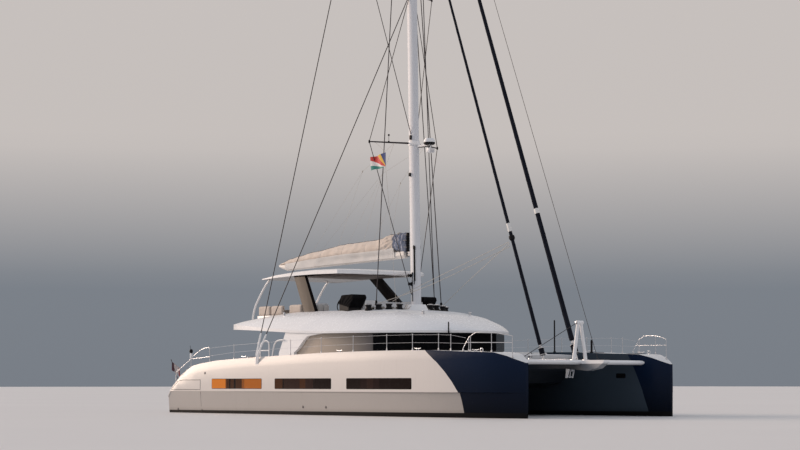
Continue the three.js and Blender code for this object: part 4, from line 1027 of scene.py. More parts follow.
for side_name, side in SIDES.items():
    diamonds = [(tip(name, side), (mast_x(z, ahead), y * side, z)) for name, ahead, y, z in DIAMONDS]
    wires(f"diamond_stays_{side_name}", "rod", 0.016, diamonds)
    x, y, top = RUNNERS[side_name]
    foot, head = Vector((x, y, deck_z(x, y, ROOF) + 0.06)), Vector((mast_x(top), 0.12 * side, top))
    wires(f"runner_{side_name}", "dark_rope", 0.02, [(foot, head)])
    along = (head - foot).normalized()
    build(f"runner_block_{side_name}", "black",
          turned=[(RUNNER_BLOCK, foot + along * 0.12, 14, along)])
    covers = []
    for (x0, y0, z0), (x1, y1, z1) in SHROUDS:
        foot, head = Vector((x0, y0 * side, z0)), Vector((x1, y1 * side, z1))
        along = (head - foot).normalized()
        covers += [([foot + along * a, foot + along * b], r0, 14, r1) for a, b, r0, r1 in TURNBUCKLE]
    build(f"turnbuckle_covers_{side_name}", "white", bars=covers)
    build(f"spreader_boots_{side_name}", "black",
          turned=[(SPREADER_BOOT, tip(name, side), 12) for name in SPREADER_TIPS])

# Sheets from the staysail's corner to the roof, and the thin outer stay
CLEW = (6.2, 0.0, 7.32)
OUTER_STAY = [(11.4, 0.0, 2.3), (mast_x(31.6, 0.345), 0.0, 31.6)]
STAYSAIL_SHEETS = [
    [CLEW, (0.6, -0.35, 5.6), (-0.2, -1.1, 4.98)],
    [(6.22, 0.0, 7.25), (2.4, 0.95, 5.75), (-0.45, 1.98, 4.8)],
    [(6.26, 0.0, 7.12), (2.4, -1.0, 5.65), (-0.45, -1.98, 4.8)],
]
wires("outer_stay", "rod", 0.01, [OUTER_STAY])
wires("staysail_sheets", "rope", 0.011, [smooth_line(line, 4) for line in STAYSAIL_SHEETS])

# Rolled headsails: foot's x, head's z, radius at foot and head, drum radius, turns, z of the white band
ROLLS = {
    "staysail": (8.3, 24.58, 0.08, 0.045, 0.11, 22, (7.75, 8.1)),
    "genoa": (10.24, 29.7, 0.105, 0.06, 0.13, 26, (8.4, 8.61)),
}
ROLL_FOOT_Z = 2.296
ROLL_SHARE = (0.03, 0.93)
EDGE_STEPS = 14  # points in each turn of a roll's edge
CLEW_BLOCK_Z = 7.49


def along_roll(name, share):
    """A point on a roll's axis, from its foot at 0 to its head at 1."""
    foot_x, head_z = ROLLS[name][:2]
    return Vector((foot_x, 0.0, ROLL_FOOT_Z)).lerp(Vector((mast_x(head_z, 0.345), 0.0, head_z)), share)


def roll_share(name, z):
    """The share of a roll's axis at height z."""
    return (z - ROLL_FOOT_Z) / (ROLLS[name][1] - ROLL_FOOT_Z)


for name, (foot_x, head_z, low_radius, high_radius, drum, turns, band) in ROLLS.items():
    axis = (along_roll(name, 1.0) - along_roll(name, 0.0)).normalized()
    side_way = axis.cross(Vector((0, 1, 0))).normalized()
    other = axis.cross(side_way)
    edge = []
    for i in range(turns * EDGE_STEPS + 1):
        part = i / (turns * EDGE_STEPS)
        share = ROLL_SHARE[0] + (ROLL_SHARE[1] - ROLL_SHARE[0]) * part
        radius = low_radius + (high_radius - low_radius) * part + 0.002
        angle = part * turns * math.tau
        edge.append(along_roll(name, share) + (side_way * math.cos(angle) + other * math.sin(angle)) * radius)
    build(name + "_rolled_edge", "rolled_sail", bars=[(edge, 0.005, 6, 0.004)])
    tie = [along_roll(name, roll_share(name, z)) for z in band]
    build(name + "_tie", "tape",
          bars=[(tie, low_radius * 0.94 + 0.012, 20, low_radius * 0.93 + 0.012)])
    bars = []
    flange = drum + 0.015
    for share, radius, thick in ((0.0105, flange, 0.02), (0.0225, flange, 0.02), (0.0265, 0.05, 0.1)):
        centre = along_roll(name, share)
        bars.append(([centre - axis * thick / 2, centre + axis * thick / 2], radius, 28))
    bars.append(([along_roll(name, 0.0), along_roll(name, 0.009)], 0.035, 14))
    build(name + "_drum_flanges", "steel", bars=bars)
    centre = along_roll(name, ROLL_SHARE[1] + 0.004)
    build(name + "_head_swivel", "steel", bars=[([centre, centre + axis * 0.22], 0.055, 16)])
build("staysail_clew_block", "black", turned=[
    ([(0.05, -0.13), (0.12, -0.08), (0.13, 0.02), (0.1, 0.1), (0.05, 0.13)],
     along_roll("staysail", roll_share("staysail", CLEW_BLOCK_Z)), 16, (0.35, 0, -0.94)),
])

# Mast gear
TRACK = [(5.3, 6.75, -0.295), (7.42, 26.0, -0.295), (26.0, 35.7, -0.19)]  # low z, high z, ahead at the top
HALYARDS = [  # ahead of the mast's axis, y, low z, high z
    (0.1, -0.178, 5.75, 7.4), (0.15, -0.172, 5.9, 7.37), (-0.02, -0.178, 5.0, 6.2),
    (0.1, 0.178, 5.75, 7.4),
]
HALYARD_EXIT = [(0.02, -0.09), (0.036, -0.06), (0.036, 0.06), (0.02, 0.09)]
MAST_WINCH = [(0.07, -0.03), (0.085, 0.0), (0.055, 0.04), (0.055, 0.1), (0.075, 0.13), (0.03, 0.15)]
MAST_WINCHES = [(-0.08, -0.2, 5.77), (-0.08, 0.2, 5.77), (-0.12, -0.2, 6.15)]  # ahead, y, z
MAST_BLOCKS = [(10.6, -0.14, 0.16), (12.25, -0.05, 0.2)]  # z, ahead, height
build("mast_track", "black", bars=[
    ([(mast_x(low, -0.295), 0, low), (mast_x(high, ahead), 0, high)], 0.026, 8) for low, high, ahead in TRACK
])
build(
    "mast_winches_and_halyards", "black",
    blocks=[((mast_x(z, ahead), -0.235, z), (mast_x(z, ahead + 0.11), -0.16, z + tall))
            for z, ahead, tall in MAST_BLOCKS],
    turned=[
        *((HALYARD_EXIT, (mast_x(high, ahead), y, high), 10) for ahead, y, low, high in HALYARDS),
        *((MAST_WINCH, (mast_x(z, ahead), y, z), 16, (0, math.copysign(1, y), 0))
          for ahead, y, z in MAST_WINCHES),
    ],
    bars=[([(mast_x(low, ahead), y, low), (mast_x(high, ahead), y, high)], 0.018, 8)
          for ahead, y, low, high in HALYARDS],
)
build("mast_boot", "black", turned=[
    ([(0.42, -0.03), (0.42, 0.0), (0.37, 0.035), (0.33, 0.05), (0.33, -0.03)], (0.12, 0, 4.8), 32),
])

# Masthead: crane with an aerial, a vane over three wind cups, and the light
top_x, top_z = mast_x(35.9), 35.86
CUPS_X, CUPS_Z, CUP_REACH = top_x + 0.62, top_z + 0.46, 0.09
CUP = [(0.004, -0.022), (0.02, -0.01), (0.024, 0.012)]
cups, bars = [], [
    ([(top_x - 0.3, 0.04, top_z + 0.04), (top_x - 0.3, 0.04, top_z + 0.75)], 0.009, 8),
    ([(top_x + 0.26, 0, top_z + 0.04), (top_x + 0.26, 0, top_z + 0.42), (CUPS_X, 0, top_z + 0.42)], 0.009, 8),
]
for angle in angles(3):
    cup = Vector((CUPS_X + CUP_REACH * math.cos(angle), CUP_REACH * math.sin(angle), CUPS_Z))
    bars.append(([(CUPS_X, 0, CUPS_Z), cup], 0.005, 6))
    cups.append((CUP, cup, 10, (math.sin(angle), -math.cos(angle), 0)))
build("masthead_instruments", "black", turned=cups, bars=bars, blocks=[
    ((top_x - 0.42, -0.07, top_z), (top_x + 0.34, 0.07, top_z + 0.05), 0.012),
    ((top_x + 0.54, -0.006, top_z + 0.48), (top_x + 0.84, 0.006, top_z + 0.56), 0.003),
])
build("masthead_light", "white", turned=[
    ([(0.05, 0.0), (0.055, 0.02), (0.045, 0.09), (0.02, 0.11)], (top_x, 0, top_z + 0.05), 16),
])

# Scanner ahead of the mast: dark base under the dome, and the deck light below it
RADOME = (1.04, 0.0, 12.095)
DOME = [(0.25, -0.052), (0.252, 0.02), (0.225, 0.085), (0.16, 0.121), (0.02, 0.135)]
DOME_BASE = [(0.05, -0.165), (0.2, -0.16), (0.252, -0.118), (0.256, -0.055), (0.25, -0.05)]
build("radome_base", "black", turned=[(DOME_BASE, RADOME, 36)],
      blocks=[((0.34, -0.07, 11.865), (1.14, 0.07, 11.89))])
build("radome_dome", "white", turned=[(DOME, RADOME, 36)])
build("deck_light_case", "white", blocks=[((1.0, -0.15, 11.58), (1.24, 0.15, 11.78), 0.03)],
      bars=[([(1.12, 0, 11.76), (1.12, 0, 11.88)], 0.03, 8)])
build("deck_light_glass", "steel", blocks=[((1.225, -0.12, 11.6), (1.25, 0.12, 11.76))])

# Wind vane on the starboard spreader
vane = Vector((mast_x(12.09) - 0.4, -1.13, 12.12))
vane_top = vane + Vector((0, 0, 0.3))
build("spreader_vane", "black", bars=[([vane, vane_top], 0.009, 6)], turned=[
    ([(0.01, -0.05), (0.045, -0.02), (0.045, 0.02), (0.01, 0.05)], vane_top, 12),
    ([(0.05, -0.02), (0.055, 0.0), (0.02, 0.04)], vane, 12),
])

# Mainsail stacked in its bag on the boom
BAG_ROWS = [  # x, bottom z, top z, width
    (-10.02, 7.075, 7.17, 0.16), (-9.75, 7.07, 7.24, 0.26), (-9.45, 7.065, 7.33, 0.34),
    (-9.1, 7.06, 7.38, 0.38), (-8.62, 7.07, 7.45, 0.43), (-7.31, 7.13, 7.58, 0.5),
    (-6.02, 7.17, 7.73, 0.56), (-5.26, 7.19, 7.79, 0.59), (-4.51, 7.2, 7.87, 0.61),
    (-3.64, 7.21, 7.86, 0.62), (-2.79, 7.22, 7.9, 0.63), (-2.18, 7.23, 7.94, 0.62),
    (-1.89, 7.24, 8.02, 0.58), (-1.59, 7.24, 8.08, 0.56), (-1.3, 7.25, 8.1, 0.52),
]
BAG_SEAMS = [-8.3, -6.6, -4.9, -3.2, -1.75]
BATTEN_PULLS = [-7.4, -5.3, -3.4, -2.0]  # where the lazy jacks lift the bag's top
BAG_AROUND = 56
BAG_LENGTHS = 190
GATHER_X = -1.7  # the cloth is drawn together here


def between_rows(rows, x):
    """Values at x by a smooth blend between rows that start with x."""
    for a, b in zip(rows, rows[1:]):
        if x <= b[0]:
            break
    t = min(max((x - a[0]) / (b[0] - a[0]), 0.0), 1.0)
    t = t * t * (3 - 2 * t) * 0.4 + t * 0.6
    return [p + (q - p) * t for p, q in zip(a[1:], b[1:])]


def folds(point, scale, seed):
    """Wrinkles between -1 and 1 at a point."""
    return noise.fractal(Vector(point) * scale + Vector((seed, seed * 1.7, 0)), 0.6, 2.1, 5)


def bag_point(x, turn):
    """A point on the bag's cloth. turn goes round from under the boom, up port and down starboard."""
    low, high, width = between_rows(BAG_ROWS, x)
    up = (1 - math.cos(turn)) / 2
    narrow = 1.0 - 0.62 * up ** 2.2
    belly = abs(math.sin(turn)) ** 0.75 * math.copysign(1, math.sin(turn))
    y = width / 2 * belly * narrow
    z = low + (high - low) * up
    near = min(abs(x - pull) for pull in BATTEN_PULLS)
    z -= 0.045 * min(near / 0.9, 1.0) * up
    broad, fine = folds((x * 1.3, y * 2.2, z * 3.2), 1.0, 3.0), folds((x * 3.6, y * 4.0, z * 9.0), 1.0, 8.0)
    out = broad * 0.02 + fine * 0.01
    gather = math.exp(-(((x - GATHER_X) / 0.34) ** 2))
    out += gather * 0.03 * math.sin(turn * 13 + 9.0 * x + 3.0 * folds((x, y, z), 2.0, 5.0))
    seam = min(abs(x - at) for at in BAG_SEAMS)
    out -= 0.012 * math.exp(-((seam / 0.02) ** 2))
    return Vector((x + 0.02 * folds((y * 3, z * 4, x), 1.0, 2.0), y + out * belly, z + out * (up - 0.4)))


def bag_stations():
    """x of each ring of the bag's cloth, closer together at the seams."""
    start, end = BAG_ROWS[0][0], BAG_ROWS[-1][0]
    rows = [start + (end - start) * i / BAG_LENGTHS for i in range(BAG_LENGTHS + 1)]
    rows += [at + d for at in BAG_SEAMS for d in (-0.03, -0.012, 0.0, 0.012, 0.03)]
    return sorted(rows)


bm = bmesh.new()
skin_rings(bm, [[bag_point(x, turn) for turn in angles(BAG_AROUND)] for x in bag_stations()])
bag = settle("sail_bag_cloth", bm, "bag", "boom", 60)
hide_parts("sail_bag")

# The bag's skirts hang over the boom's sides
BOOM_ROWS = [  # x, bottom z, height, width
    (-10.05, 6.96, 0.11, 0.2), (-9.4, 6.78, 0.28, 0.3), (-5.0, 6.87, 0.35, 0.33),
    (-0.575, 6.96, 0.3, 0.28),
]
SKIRT_START, SKIRT_LENGTH, SKIRT_STEPS = -9.45, 8.25, 120
for side_name, side in SIDES.items():
    bm = bmesh.new()
    rings = []
    for i in range(SKIRT_STEPS + 1):
        x = SKIRT_START + i * (SKIRT_LENGTH / SKIRT_STEPS)
        bottom, tall, wide = between_rows(BOOM_ROWS, x)
        bag_low, bag_high, bag_wide = between_rows(BAG_ROWS, x)
        wave = 0.012 * math.sin(x * 5.1) + 0.01 * folds((x * 2.2, side, 0), 1.0, 4.0)
        path = [
            (bag_wide * 0.44, bag_low + (bag_high - bag_low) * 0.22),
            (bag_wide * 0.4 + 0.012, bag_low + 0.04),
            (wide / 2 + 0.035 + wave, bottom + tall - 0.04),
            (wide / 2 + 0.022 + wave * 0.6, bottom + tall * 0.45),
            (wide / 2 + 0.012, bottom + tall * 0.16),
        ]
        outer = [(x, side * y, z) for y, z in path]
        inner = [(x, side * (y - 0.008), z) for y, z in path[::-1]]
        rings.append(outer + inner)
    skin_rings(bm, rings)
    settle("bag_skirt_" + side_name, bm, "skirt", "boom", 60)

# Zip along the bag's crest, and straps round bag and boom
STRAP_X = (-8.9, -7.0, -4.9, -2.9, -1.55)
crest = [bag_point(x, math.pi) + Vector((0, 0, 0.004)) for x in bag_stations()[::2]]
build("bag_zip", "cover", "boom", bars=[(crest, 0.013, 6)])
bm = bmesh.new()
for x in STRAP_X:
    bottom, tall, wide = between_rows(BOOM_ROWS, x)
    half = [(wide / 2 + 0.03, bottom + tall * 0.6), (wide / 2 + 0.012, bottom + tall * 0.42)]
    half.append((wide / 4, bottom - 0.012))
    under = [Vector((x, y, z)) for y, z in half] + [Vector((x, -y, z)) for y, z in half[::-1]]
    rings = []
    for offset in (-0.025, 0.025):
        outer = [p + Vector((offset, 0, 0)) for p in under]
        rings.append(outer + [p + Vector((offset, 0, 0.006)) for p in under[::-1]])
    skin_rings(bm, rings)
settle("bag_straps", bm, "tape", "boom")

# Folded sail at the mast end, hanging out of the open bag in upright folds
BUNDLE_ROWS = [  # x, bottom z, top z, width
    (-1.5, 7.36, 8.0, 0.36), (-1.2, 7.33, 8.06, 0.4), (-0.85, 7.31, 8.09, 0.42),
    (-0.66, 7.2, 8.1, 0.4), (-0.5, 7.2, 8.08, 0.34),
]
BUNDLE_STEPS, BUNDLE_AROUND = 60, 72
LUFF_TIES = [(7.45, 0.2), (7.75, 0.23), (8.0, 0.18)]  # z, half width
bm = bmesh.new()
rings = []
for i in range(BUNDLE_STEPS + 1):
    x = BUNDLE_ROWS[0][0] + (BUNDLE_ROWS[-1][0] - BUNDLE_ROWS[0][0]) * i / BUNDLE_STEPS
    low, high, width = between_rows(BUNDLE_ROWS, x)
    ring = []
    for turn in angles(BUNDLE_AROUND):
        up = (1 - math.cos(turn)) / 2
        belly = abs(math.sin(turn)) ** 0.6 * math.copysign(1, math.sin(turn))
        layer = math.sin(x * 27 + 3.2 * folds((x, up * 2.0, turn), 1.6, 1.0))
        lump = folds((x * 2.5, belly, up * 3.0), 1.4, 6.0)
        out = 1.0 + 0.13 * layer + 0.16 * lump
        y = width / 2 * belly * out * (1 - 0.35 * up ** 3)
        ring.append((x, y, low + (high - low) * up + 0.035 * layer * up))
    rings.append(ring)
skin_rings(bm, rings)
settle("folded_sail_at_mast", bm, "sail", "boom", 60)
ties = [([(-0.5, -half, z), (-0.44, 0, z + 0.01), (-0.5, half, z)], 0.012, 6) for z, half in LUFF_TIES]
ties.append((smooth_line([(-1.05, -0.12, 8.06), (-0.98, -0.02, 8.12), (-0.92, 0.08, 8.06)], 5), 0.035, 8))
build("sail_ties", "rope", "boom", bars=ties)

# Luff cars, stacked on the mast's track
CAR_Z, CAR_PITCH, CAR_TALL, CARS = 7.03, 0.108, 0.102, 10
build("luff_cars", "black", "boom", blocks=[
    ((-0.475, -0.07, CAR_Z + CAR_PITCH * i), (-0.405, 0.07, CAR_Z + CAR_TALL + CAR_PITCH * i))
    for i in range(CARS)
])

# Lines that hold the bag up, from the mast to both sides of the bag
JACK_KNOTS = [(-2.96, 0.6, 11.02), (-1.69, 0.6, 10.46)]
JACK_LEGS = [(0, -7.4), (0, -5.3), (1, -3.4), (1, -2.0)]  # knot, x on the bag
for side_name, side in SIDES.items():
    bm = bmesh.new()
    for knot in JACK_KNOTS:
        x, y, z = knot
        root = Vector((mast_x(12.0, -0.7 * 0.45), 0.9 * side, 12.05))
        points = [root.lerp(Vector((x, y * side, z)), i / 10) for i in range(11)]
        add_tube(bm, points, 0.005, 5)
        add_lathe(bm, [(0.008, -0.05), (0.022, -0.03), (0.022, 0.03), (0.008, 0.05)], (x, y * side, z), 8)
    for index, x in JACK_LEGS:
        knot = Vector(JACK_KNOTS[index])
        knot.y *= side
        low, high, width = between_rows(BAG_ROWS, x)
        foot = Vector((x, width * 0.4 * side, low + (high - low) * 0.66))
        add_tube(bm, [knot.lerp(foot, i / 14) for i in range(15)], 0.004, 5)
    jacks = settle("lazy_jacks_" + side_name, bm, "rope", None)
    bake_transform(jacks)

# Sheave in the boom's end
SHEAVE = [(0.02, -0.05), (0.05, -0.045), (0.05, 0.045), (0.02, 0.05)]
build("boom_end_sheave", "steel", "boom", turned=[(SHEAVE, (-10.03, 0, 7.02), 16, (0, 1, 0))],
      blocks=[((-10.07, -0.09, 6.97), (-10.02, 0.09, 7.06))])


# Flags: small cloths that stream from a line or pole
def flag(name, hoist_top, size, away, droop_deg, waves):
    """A flag cut width by height, whose top corner at the hoist is given."""
    wide, tall = size
    across, up = 42, 26
    turn = math.atan2(away[1], away[0])
    droop = math.radians(droop_deg)
    bm = bmesh.new()
    rows = []
    for j in range(up + 1):
        v = j / up
        here = Vector(hoist_top) - Vector((0, 0, tall * v))
        row = [bm.verts.new(here)]
        for i in range(across):
            u = (i + 0.5) / across
            swing = turn + waves * math.sin(u * 9.0 + v * 1.3) * min(u * 3, 1)
            fall = droop * (0.7 + 0.5 * u) + 0.1 * math.sin(u * 6 + 1.5 * v)
            level = math.cos(fall)
            way = Vector((math.cos(swing) * level, math.sin(swing) * level, -math.sin(fall)))
            here = here + way * (wide / across)
            row.append(bm.verts.new(here))
        rows.append(row)
    layer = bm.loops.layers.uv.new("cut")
    for j, (top, low) in enumerate(zip(rows, rows[1:])):
        for i in range(across):
            face = bm.faces.new((top[i], low[i], low[i + 1], top[i + 1]))
            for loop, (u, v) in zip(face.loops, ((i, j), (i, j + 1), (i + 1, j + 1), (i + 1, j))):
                loop[layer].uv = (u / across, 1 - v / up)
    obj = settle(name, bm, name, sharp_deg=80)


def flag_finish(name, bands, slanted):
    """Coloured bands, fanned from the lower hoist corner or upright. bands are rows of (share, colour)."""
    made, tree, surface = finish(name, Roughness=0.8, Sheen_Weight=0.2)
    u, v = node(tree, "SeparateXYZ", Vector=node(tree, "TexCoord").outputs["UV"]).outputs[:2]
    fan = sums(tree, "DIVIDE", sums(tree, "ARCTAN2", v, plus(tree, u, 0.001)), math.pi / 2)
    color = ramp(tree, fan if slanted else u, bands, "CONSTANT")
    woven = use(tree, "weave", Color=color, Shade=(0.05, 0.05, 0.05), Thread=0.003, Mottle=0.12)
    lay(tree, surface, woven["Color"], normal=relief(tree, woven["Height"], 0.4, 0.0006))
    return made


COURTESY_BANDS = [
    (0.0, (0.01, 0.23, 0.19)), (0.21, (0.8, 0.78, 0.76)), (0.4, (0.6, 0.035, 0.025)),
    (0.68, (0.8, 0.5, 0.05)), (0.82, (0.02, 0.05, 0.2)),
]
STERN_BANDS = [(0.0, (0.1, 0.03, 0.05)), (0.25, (0.62, 0.56, 0.55)), (0.75, (0.36, 0.1, 0.11))]
FINISHES["courtesy_flag"] = flag_finish("courtesy_flag_cloth", COURTESY_BANDS, slanted=True)
FINISHES["stern_flag"] = flag_finish("stern_flag_cloth", STERN_BANDS, slanted=False)
FLAG_HOIST = (0.3, -1.9, 11.52)
FLAG_LINE = [
    (mast_x(12.09) - 0.62, -1.72, 12.06), FLAG_HOIST, (0.3, -1.9, 10.88), (0.42, -1.75, 8.6),
    (0.55, -1.5, 4.72),
]
ENSIGN_POLE = [(-11.3, -4.98, 1.38), (-12.02, -4.98, 2.5)]
flag("courtesy_flag", FLAG_HOIST, (1.22, 0.62), (-0.98, 0.1), 5, 0.42)
wires("flag_halyard", "rope", 0.006, [FLAG_LINE])
wires("ensign_pole", "dark_rope", 0.014, [ENSIGN_POLE], sides=10)
flag("stern_flag", (-11.95, -4.98, 2.38), (0.62, 0.4), (0.34, 0.94), 33, 1.15)

# Cushions: stuffed by cloth simulation, one module for each kind, then fitted to its place
CUSHION_VOXEL = 0.016
CUSHION_PRESSURE = 4.0
CUSHION_SWELL = 0.02  # the most that a point may move
CUSHION_FRAMES = 20
CUSHION_DRAW = 0.035  # how far the sides draw in between the corners
CUSHION_KINDS = {"seat": (0.8, 0.72, 0.14), "back": (0.9, 0.15, 0.44)}  # length, depth, height of each


def stuffed_shape(size):
    """A rounded, slightly crowned block whose sides draw in between its corners. Its centre is at 0."""
    bm = bmesh.new()
    bmesh.ops.create_cube(bm, size=2.0)
    bmesh.ops.subdivide_edges(bm, edges=bm.edges, cuts=11, use_grid_fill=True)
    half = [side / 2 - CUSHION_SWELL * 0.6 for side in size]
    for vert in bm.verts:
        u, v, w = vert.co
        round_off = (abs(u) ** 9 + abs(v) ** 9 + abs(w) ** 9) ** (1 / 9)
        u, v, w = u / round_off, v / round_off, w / round_off
        vert.co = Vector((
            u * half[0] * (1 - CUSHION_DRAW * (1 - v * v)),
            v * half[1] * (1 - CUSHION_DRAW * (1 - u * u)),
            w * half[2] * (0.86 + 0.14 * (1 - u ** 4) * (1 - v ** 4)),
        ))
    return bm


def stuff(bm, name):
    """Blows the shape up as sewn cloth and returns the settled mesh."""
    scene = bpy.context.scene
    mesh = bpy.data.meshes.new(name + "_blank")
    bm.to_mesh(mesh)
    bm.free()
    blank = bpy.data.objects.new(name + "_blank", mesh)
    scene.collection.objects.link(blank)
    remesh = blank.modifiers.new("voxels", "REMESH")
    remesh.mode = "VOXEL"
    remesh.voxel_size = CUSHION_VOXEL
    fine = bpy.data.meshes.new_from_object(blank.evaluated_get(bpy.context.evaluated_depsgraph_get()))
    bpy.data.objects.remove(blank)
    before = [vert.co.copy() for vert in fine.vertices]
    cover = bpy.data.objects.new(name + "_cover", fine)
    scene.collection.objects.link(cover)
    cloth_mod = cover.modifiers.new("cloth", "CLOTH")
    cloth_mod.settings.quality = 4
    cloth_mod.settings.use_pressure = True
    cloth_mod.settings.uniform_pressure_force = CUSHION_PRESSURE
    cloth_mod.settings.effector_weights.gravity = 0.0
    cloth_mod.point_cache.frame_start = 1
    cloth_mod.point_cache.frame_end = CUSHION_FRAMES
    for number in range(1, CUSHION_FRAMES + 1):
        scene.frame_set(number)
    settled = bpy.data.meshes.new_from_object(cover.evaluated_get(bpy.context.evaluated_depsgraph_get()))
    scene.frame_set(1)
    bpy.data.objects.remove(cover)
    for vert, start in zip(settled.vertices, before):
        moved = vert.co - start
        if moved.length > CUSHION_SWELL:
            vert.co = start + moved.normalized() * CUSHION_SWELL
    return settled


def cushion_module(kind):
    """The stuffed mesh of a kind, with piping round its two broad faces."""
    size = CUSHION_KINDS[kind]
    bm = stuffed_shape(size)
    settled = stuff(bm, kind)
    bm = bmesh.new()
    bm.from_mesh(settled)
    flat_axis = 2 if kind == "seat" else 1
    skin = BVHTree.FromBMesh(bm)
    plan = [axis for axis in range(3) if axis != flat_axis]
    for face_side in (-1, 1):
        line = []
        for turn in angles(72):
            point = Vector((0, 0, 0))
            for axis, part in zip(plan, (math.cos(turn), math.sin(turn))):
                point[axis] = size[axis] / 2 * abs(part) ** 0.22 * math.copysign(1, part)
            point[flat_axis] = face_side * size[flat_axis] * 0.36
            hit, normal = skin.find_nearest(point)[:2]
            line.append(hit + normal * 0.002)
        add_tube(bm, [*line, line[0]], 0.006, 6)
    mesh = bpy.data.meshes.new("cushion_" + kind)
    bm.to_mesh(mesh)
    bm.free()
    return mesh


MODULES = {kind: cushion_module(kind) for kind in CUSHION_KINDS}


CUSHION_GAP = 0.012


def cushion_places(start, end, count, along, across, z_span):
    """Places side by side from start to end along "x" or "y", as (low corner, high corner, turn about z)."""
    pitch = (end - start) / count
    places = []
    for i in range(count):
        span = (start + pitch * i + CUSHION_GAP / 2, start + pitch * (i + 1) - CUSHION_GAP / 2)
        x_span, y_span = (span, across) if along == "x" else (across, span)
        corners = list(zip(x_span, y_span, z_span))
        places.append((*corners, 90 if along == "y" else 0))
    return places


def cushions(name, kind, look, fill, rows):
    """One piece of like cushions. rows are (start, end, count, along, span across, z span)."""
    bm = bmesh.new()
    for low, high, turn_deg in (place for row in rows for place in cushion_places(*row)):
        low, high = Vector(low), Vector(high)
        size = high - low
        turned = Matrix.Rotation(math.radians(turn_deg), 4, "Z")
        local = Vector((size.y, size.x, size.z)) if turn_deg else size
        scale = [want / have for want, have in zip(local, CUSHION_KINDS[kind])]
        piece = MODULES[kind].copy()
        piece.transform(Matrix.Translation((low + high) / 2) @ turned @ Matrix.Diagonal((*scale, 1.0)))
        bm.from_mesh(piece)
        bpy.data.meshes.remove(piece)
    obj = settle(name, bm, look, sharp_deg=50)


# Moulded bases: name, node that it replaces, blocks
SEAT_BASES = [
    ("flybridge_sofa_base", "flybridge_sofa", [
        ((-8.2, -2.7, 4.002), (-4.75, -1.97, 4.285), 0.03),
        ((-8.2, -2.05, 4.002), (-7.47, 1.4, 4.285), 0.03),
        ((-8.2, -2.7, 4.2), (-6.2, -2.62, 4.5), 0.02),
        ((-5.8, -2.7, 4.2), (-4.75, -2.62, 4.5), 0.02),
    ]),
    ("cockpit_sofa_base", "cockpit_sofa", [
        ((-9.58, -2.3, 1.952), (-8.82, 2.3, 2.26), 0.03), ((-9.58, -2.3, 2.2), (-9.5, 2.3, 2.62), 0.02),
    ]),
    ("flybridge_sunbed_base", None, [((-4.35, -1.15, 4.0), (-2.6, 1.15, 4.26), 0.04)]),
    ("forward_seat_base", None, [((5.46, -2.35, 1.95), (6.13, 2.35, 2.26), 0.03)]),
]
for name, replaced, blocks in SEAT_BASES:
    base = build(name, "white", blocks=blocks)
    if replaced:
        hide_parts(replaced)

# Loose cushions: name, kind, cloth, fill, rows of (start, end, count, along, span across, z span)
CUSHIONS = [
    ("flybridge_seat_cushions", "seat", "cushion", 0.7, [
        (-7.44, -4.76, 3, "x", (-2.5, -1.96), (4.285, 4.44)),
        (-1.95, 1.38, 4, "y", (-8.0, -7.46), (4.285, 4.44)),
        (-8.006, -7.454, 1, "x", (-2.5, -1.96), (4.285, 4.44)),
    ]),
    ("flybridge_back_cushions", "back", "cushion", 0.9, [
        (-8.18, -6.21, 2, "x", (-2.69, -2.52), (4.46, 4.975)),
        (-5.79, -4.76, 1, "x", (-2.69, -2.52), (4.46, 4.985)),
        (-2.48, 1.38, 4, "y", (-8.19, -8.02), (4.44, 4.86)),
    ]),
    ("cockpit_seat_cushions", "seat", "cushion", 0.7, [(-2.28, 2.28, 5, "y", (-9.4, -8.81), (2.26, 2.41))]),
    ("cockpit_back_cushions", "back", "cushion", 0.85, [(-2.28, 2.28, 5, "y", (-9.51, -9.35), (2.38, 2.64))]),
    ("flybridge_sunbed", "seat", "seat", 0.6, [(-1.12, 1.12, 3, "y", (-4.32, -2.63), (4.26, 4.38))]),
    ("forward_seat_cushions", "seat", "seat", 0.7, [(-2.33, 2.33, 5, "y", (5.47, 6.02), (2.26, 2.4))]),
    ("forward_back_cushions", "back", "seat", 0.8, [(-2.33, 2.33, 5, "y", (6.0, 6.13), (2.38, 2.7))]),
]
for row in CUSHIONS:
    cushions(*row)

# Helm seats: a white shell with two seat pads and two back pads each
HELM_SEAT_Y = (1.73, 2.41)
SEAT_LEAN = Matrix.Rotation(math.radians(-8), 4, "Y")
HELM_PADS = {"seat": ((-3.93, -3.42), (4.46, 4.58)), "back": ((-4.03, -3.93), (4.57, 4.95))}  # x span, z span
for side_name, side in SIDES.items():
    y0, y1 = sorted(y * side for y in HELM_SEAT_Y)
    shell = build("helm_seat_shell_" + side_name, "white", blocks=[
        ((-3.98, y0 + 0.04, 4.002), (-3.52, y1 - 0.04, 4.4), 0.03),
        ((-4.0, y0, 4.36), (-3.44, y1, 4.46), 0.03),
        ((-4.085, y0, 4.44), (-4.025, y1, 4.99), 0.02, SEAT_LEAN),
    ])
    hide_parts("helm_seat_" + side_name)
    for kind, (x_span, z_span) in HELM_PADS.items():
        pads = [(y0 + 0.01, y1 - 0.01, 2, "y", x_span, z_span)]
        cushions(f"helm_{kind}_pads_{side_name}", kind, "seat", 0.7, pads)

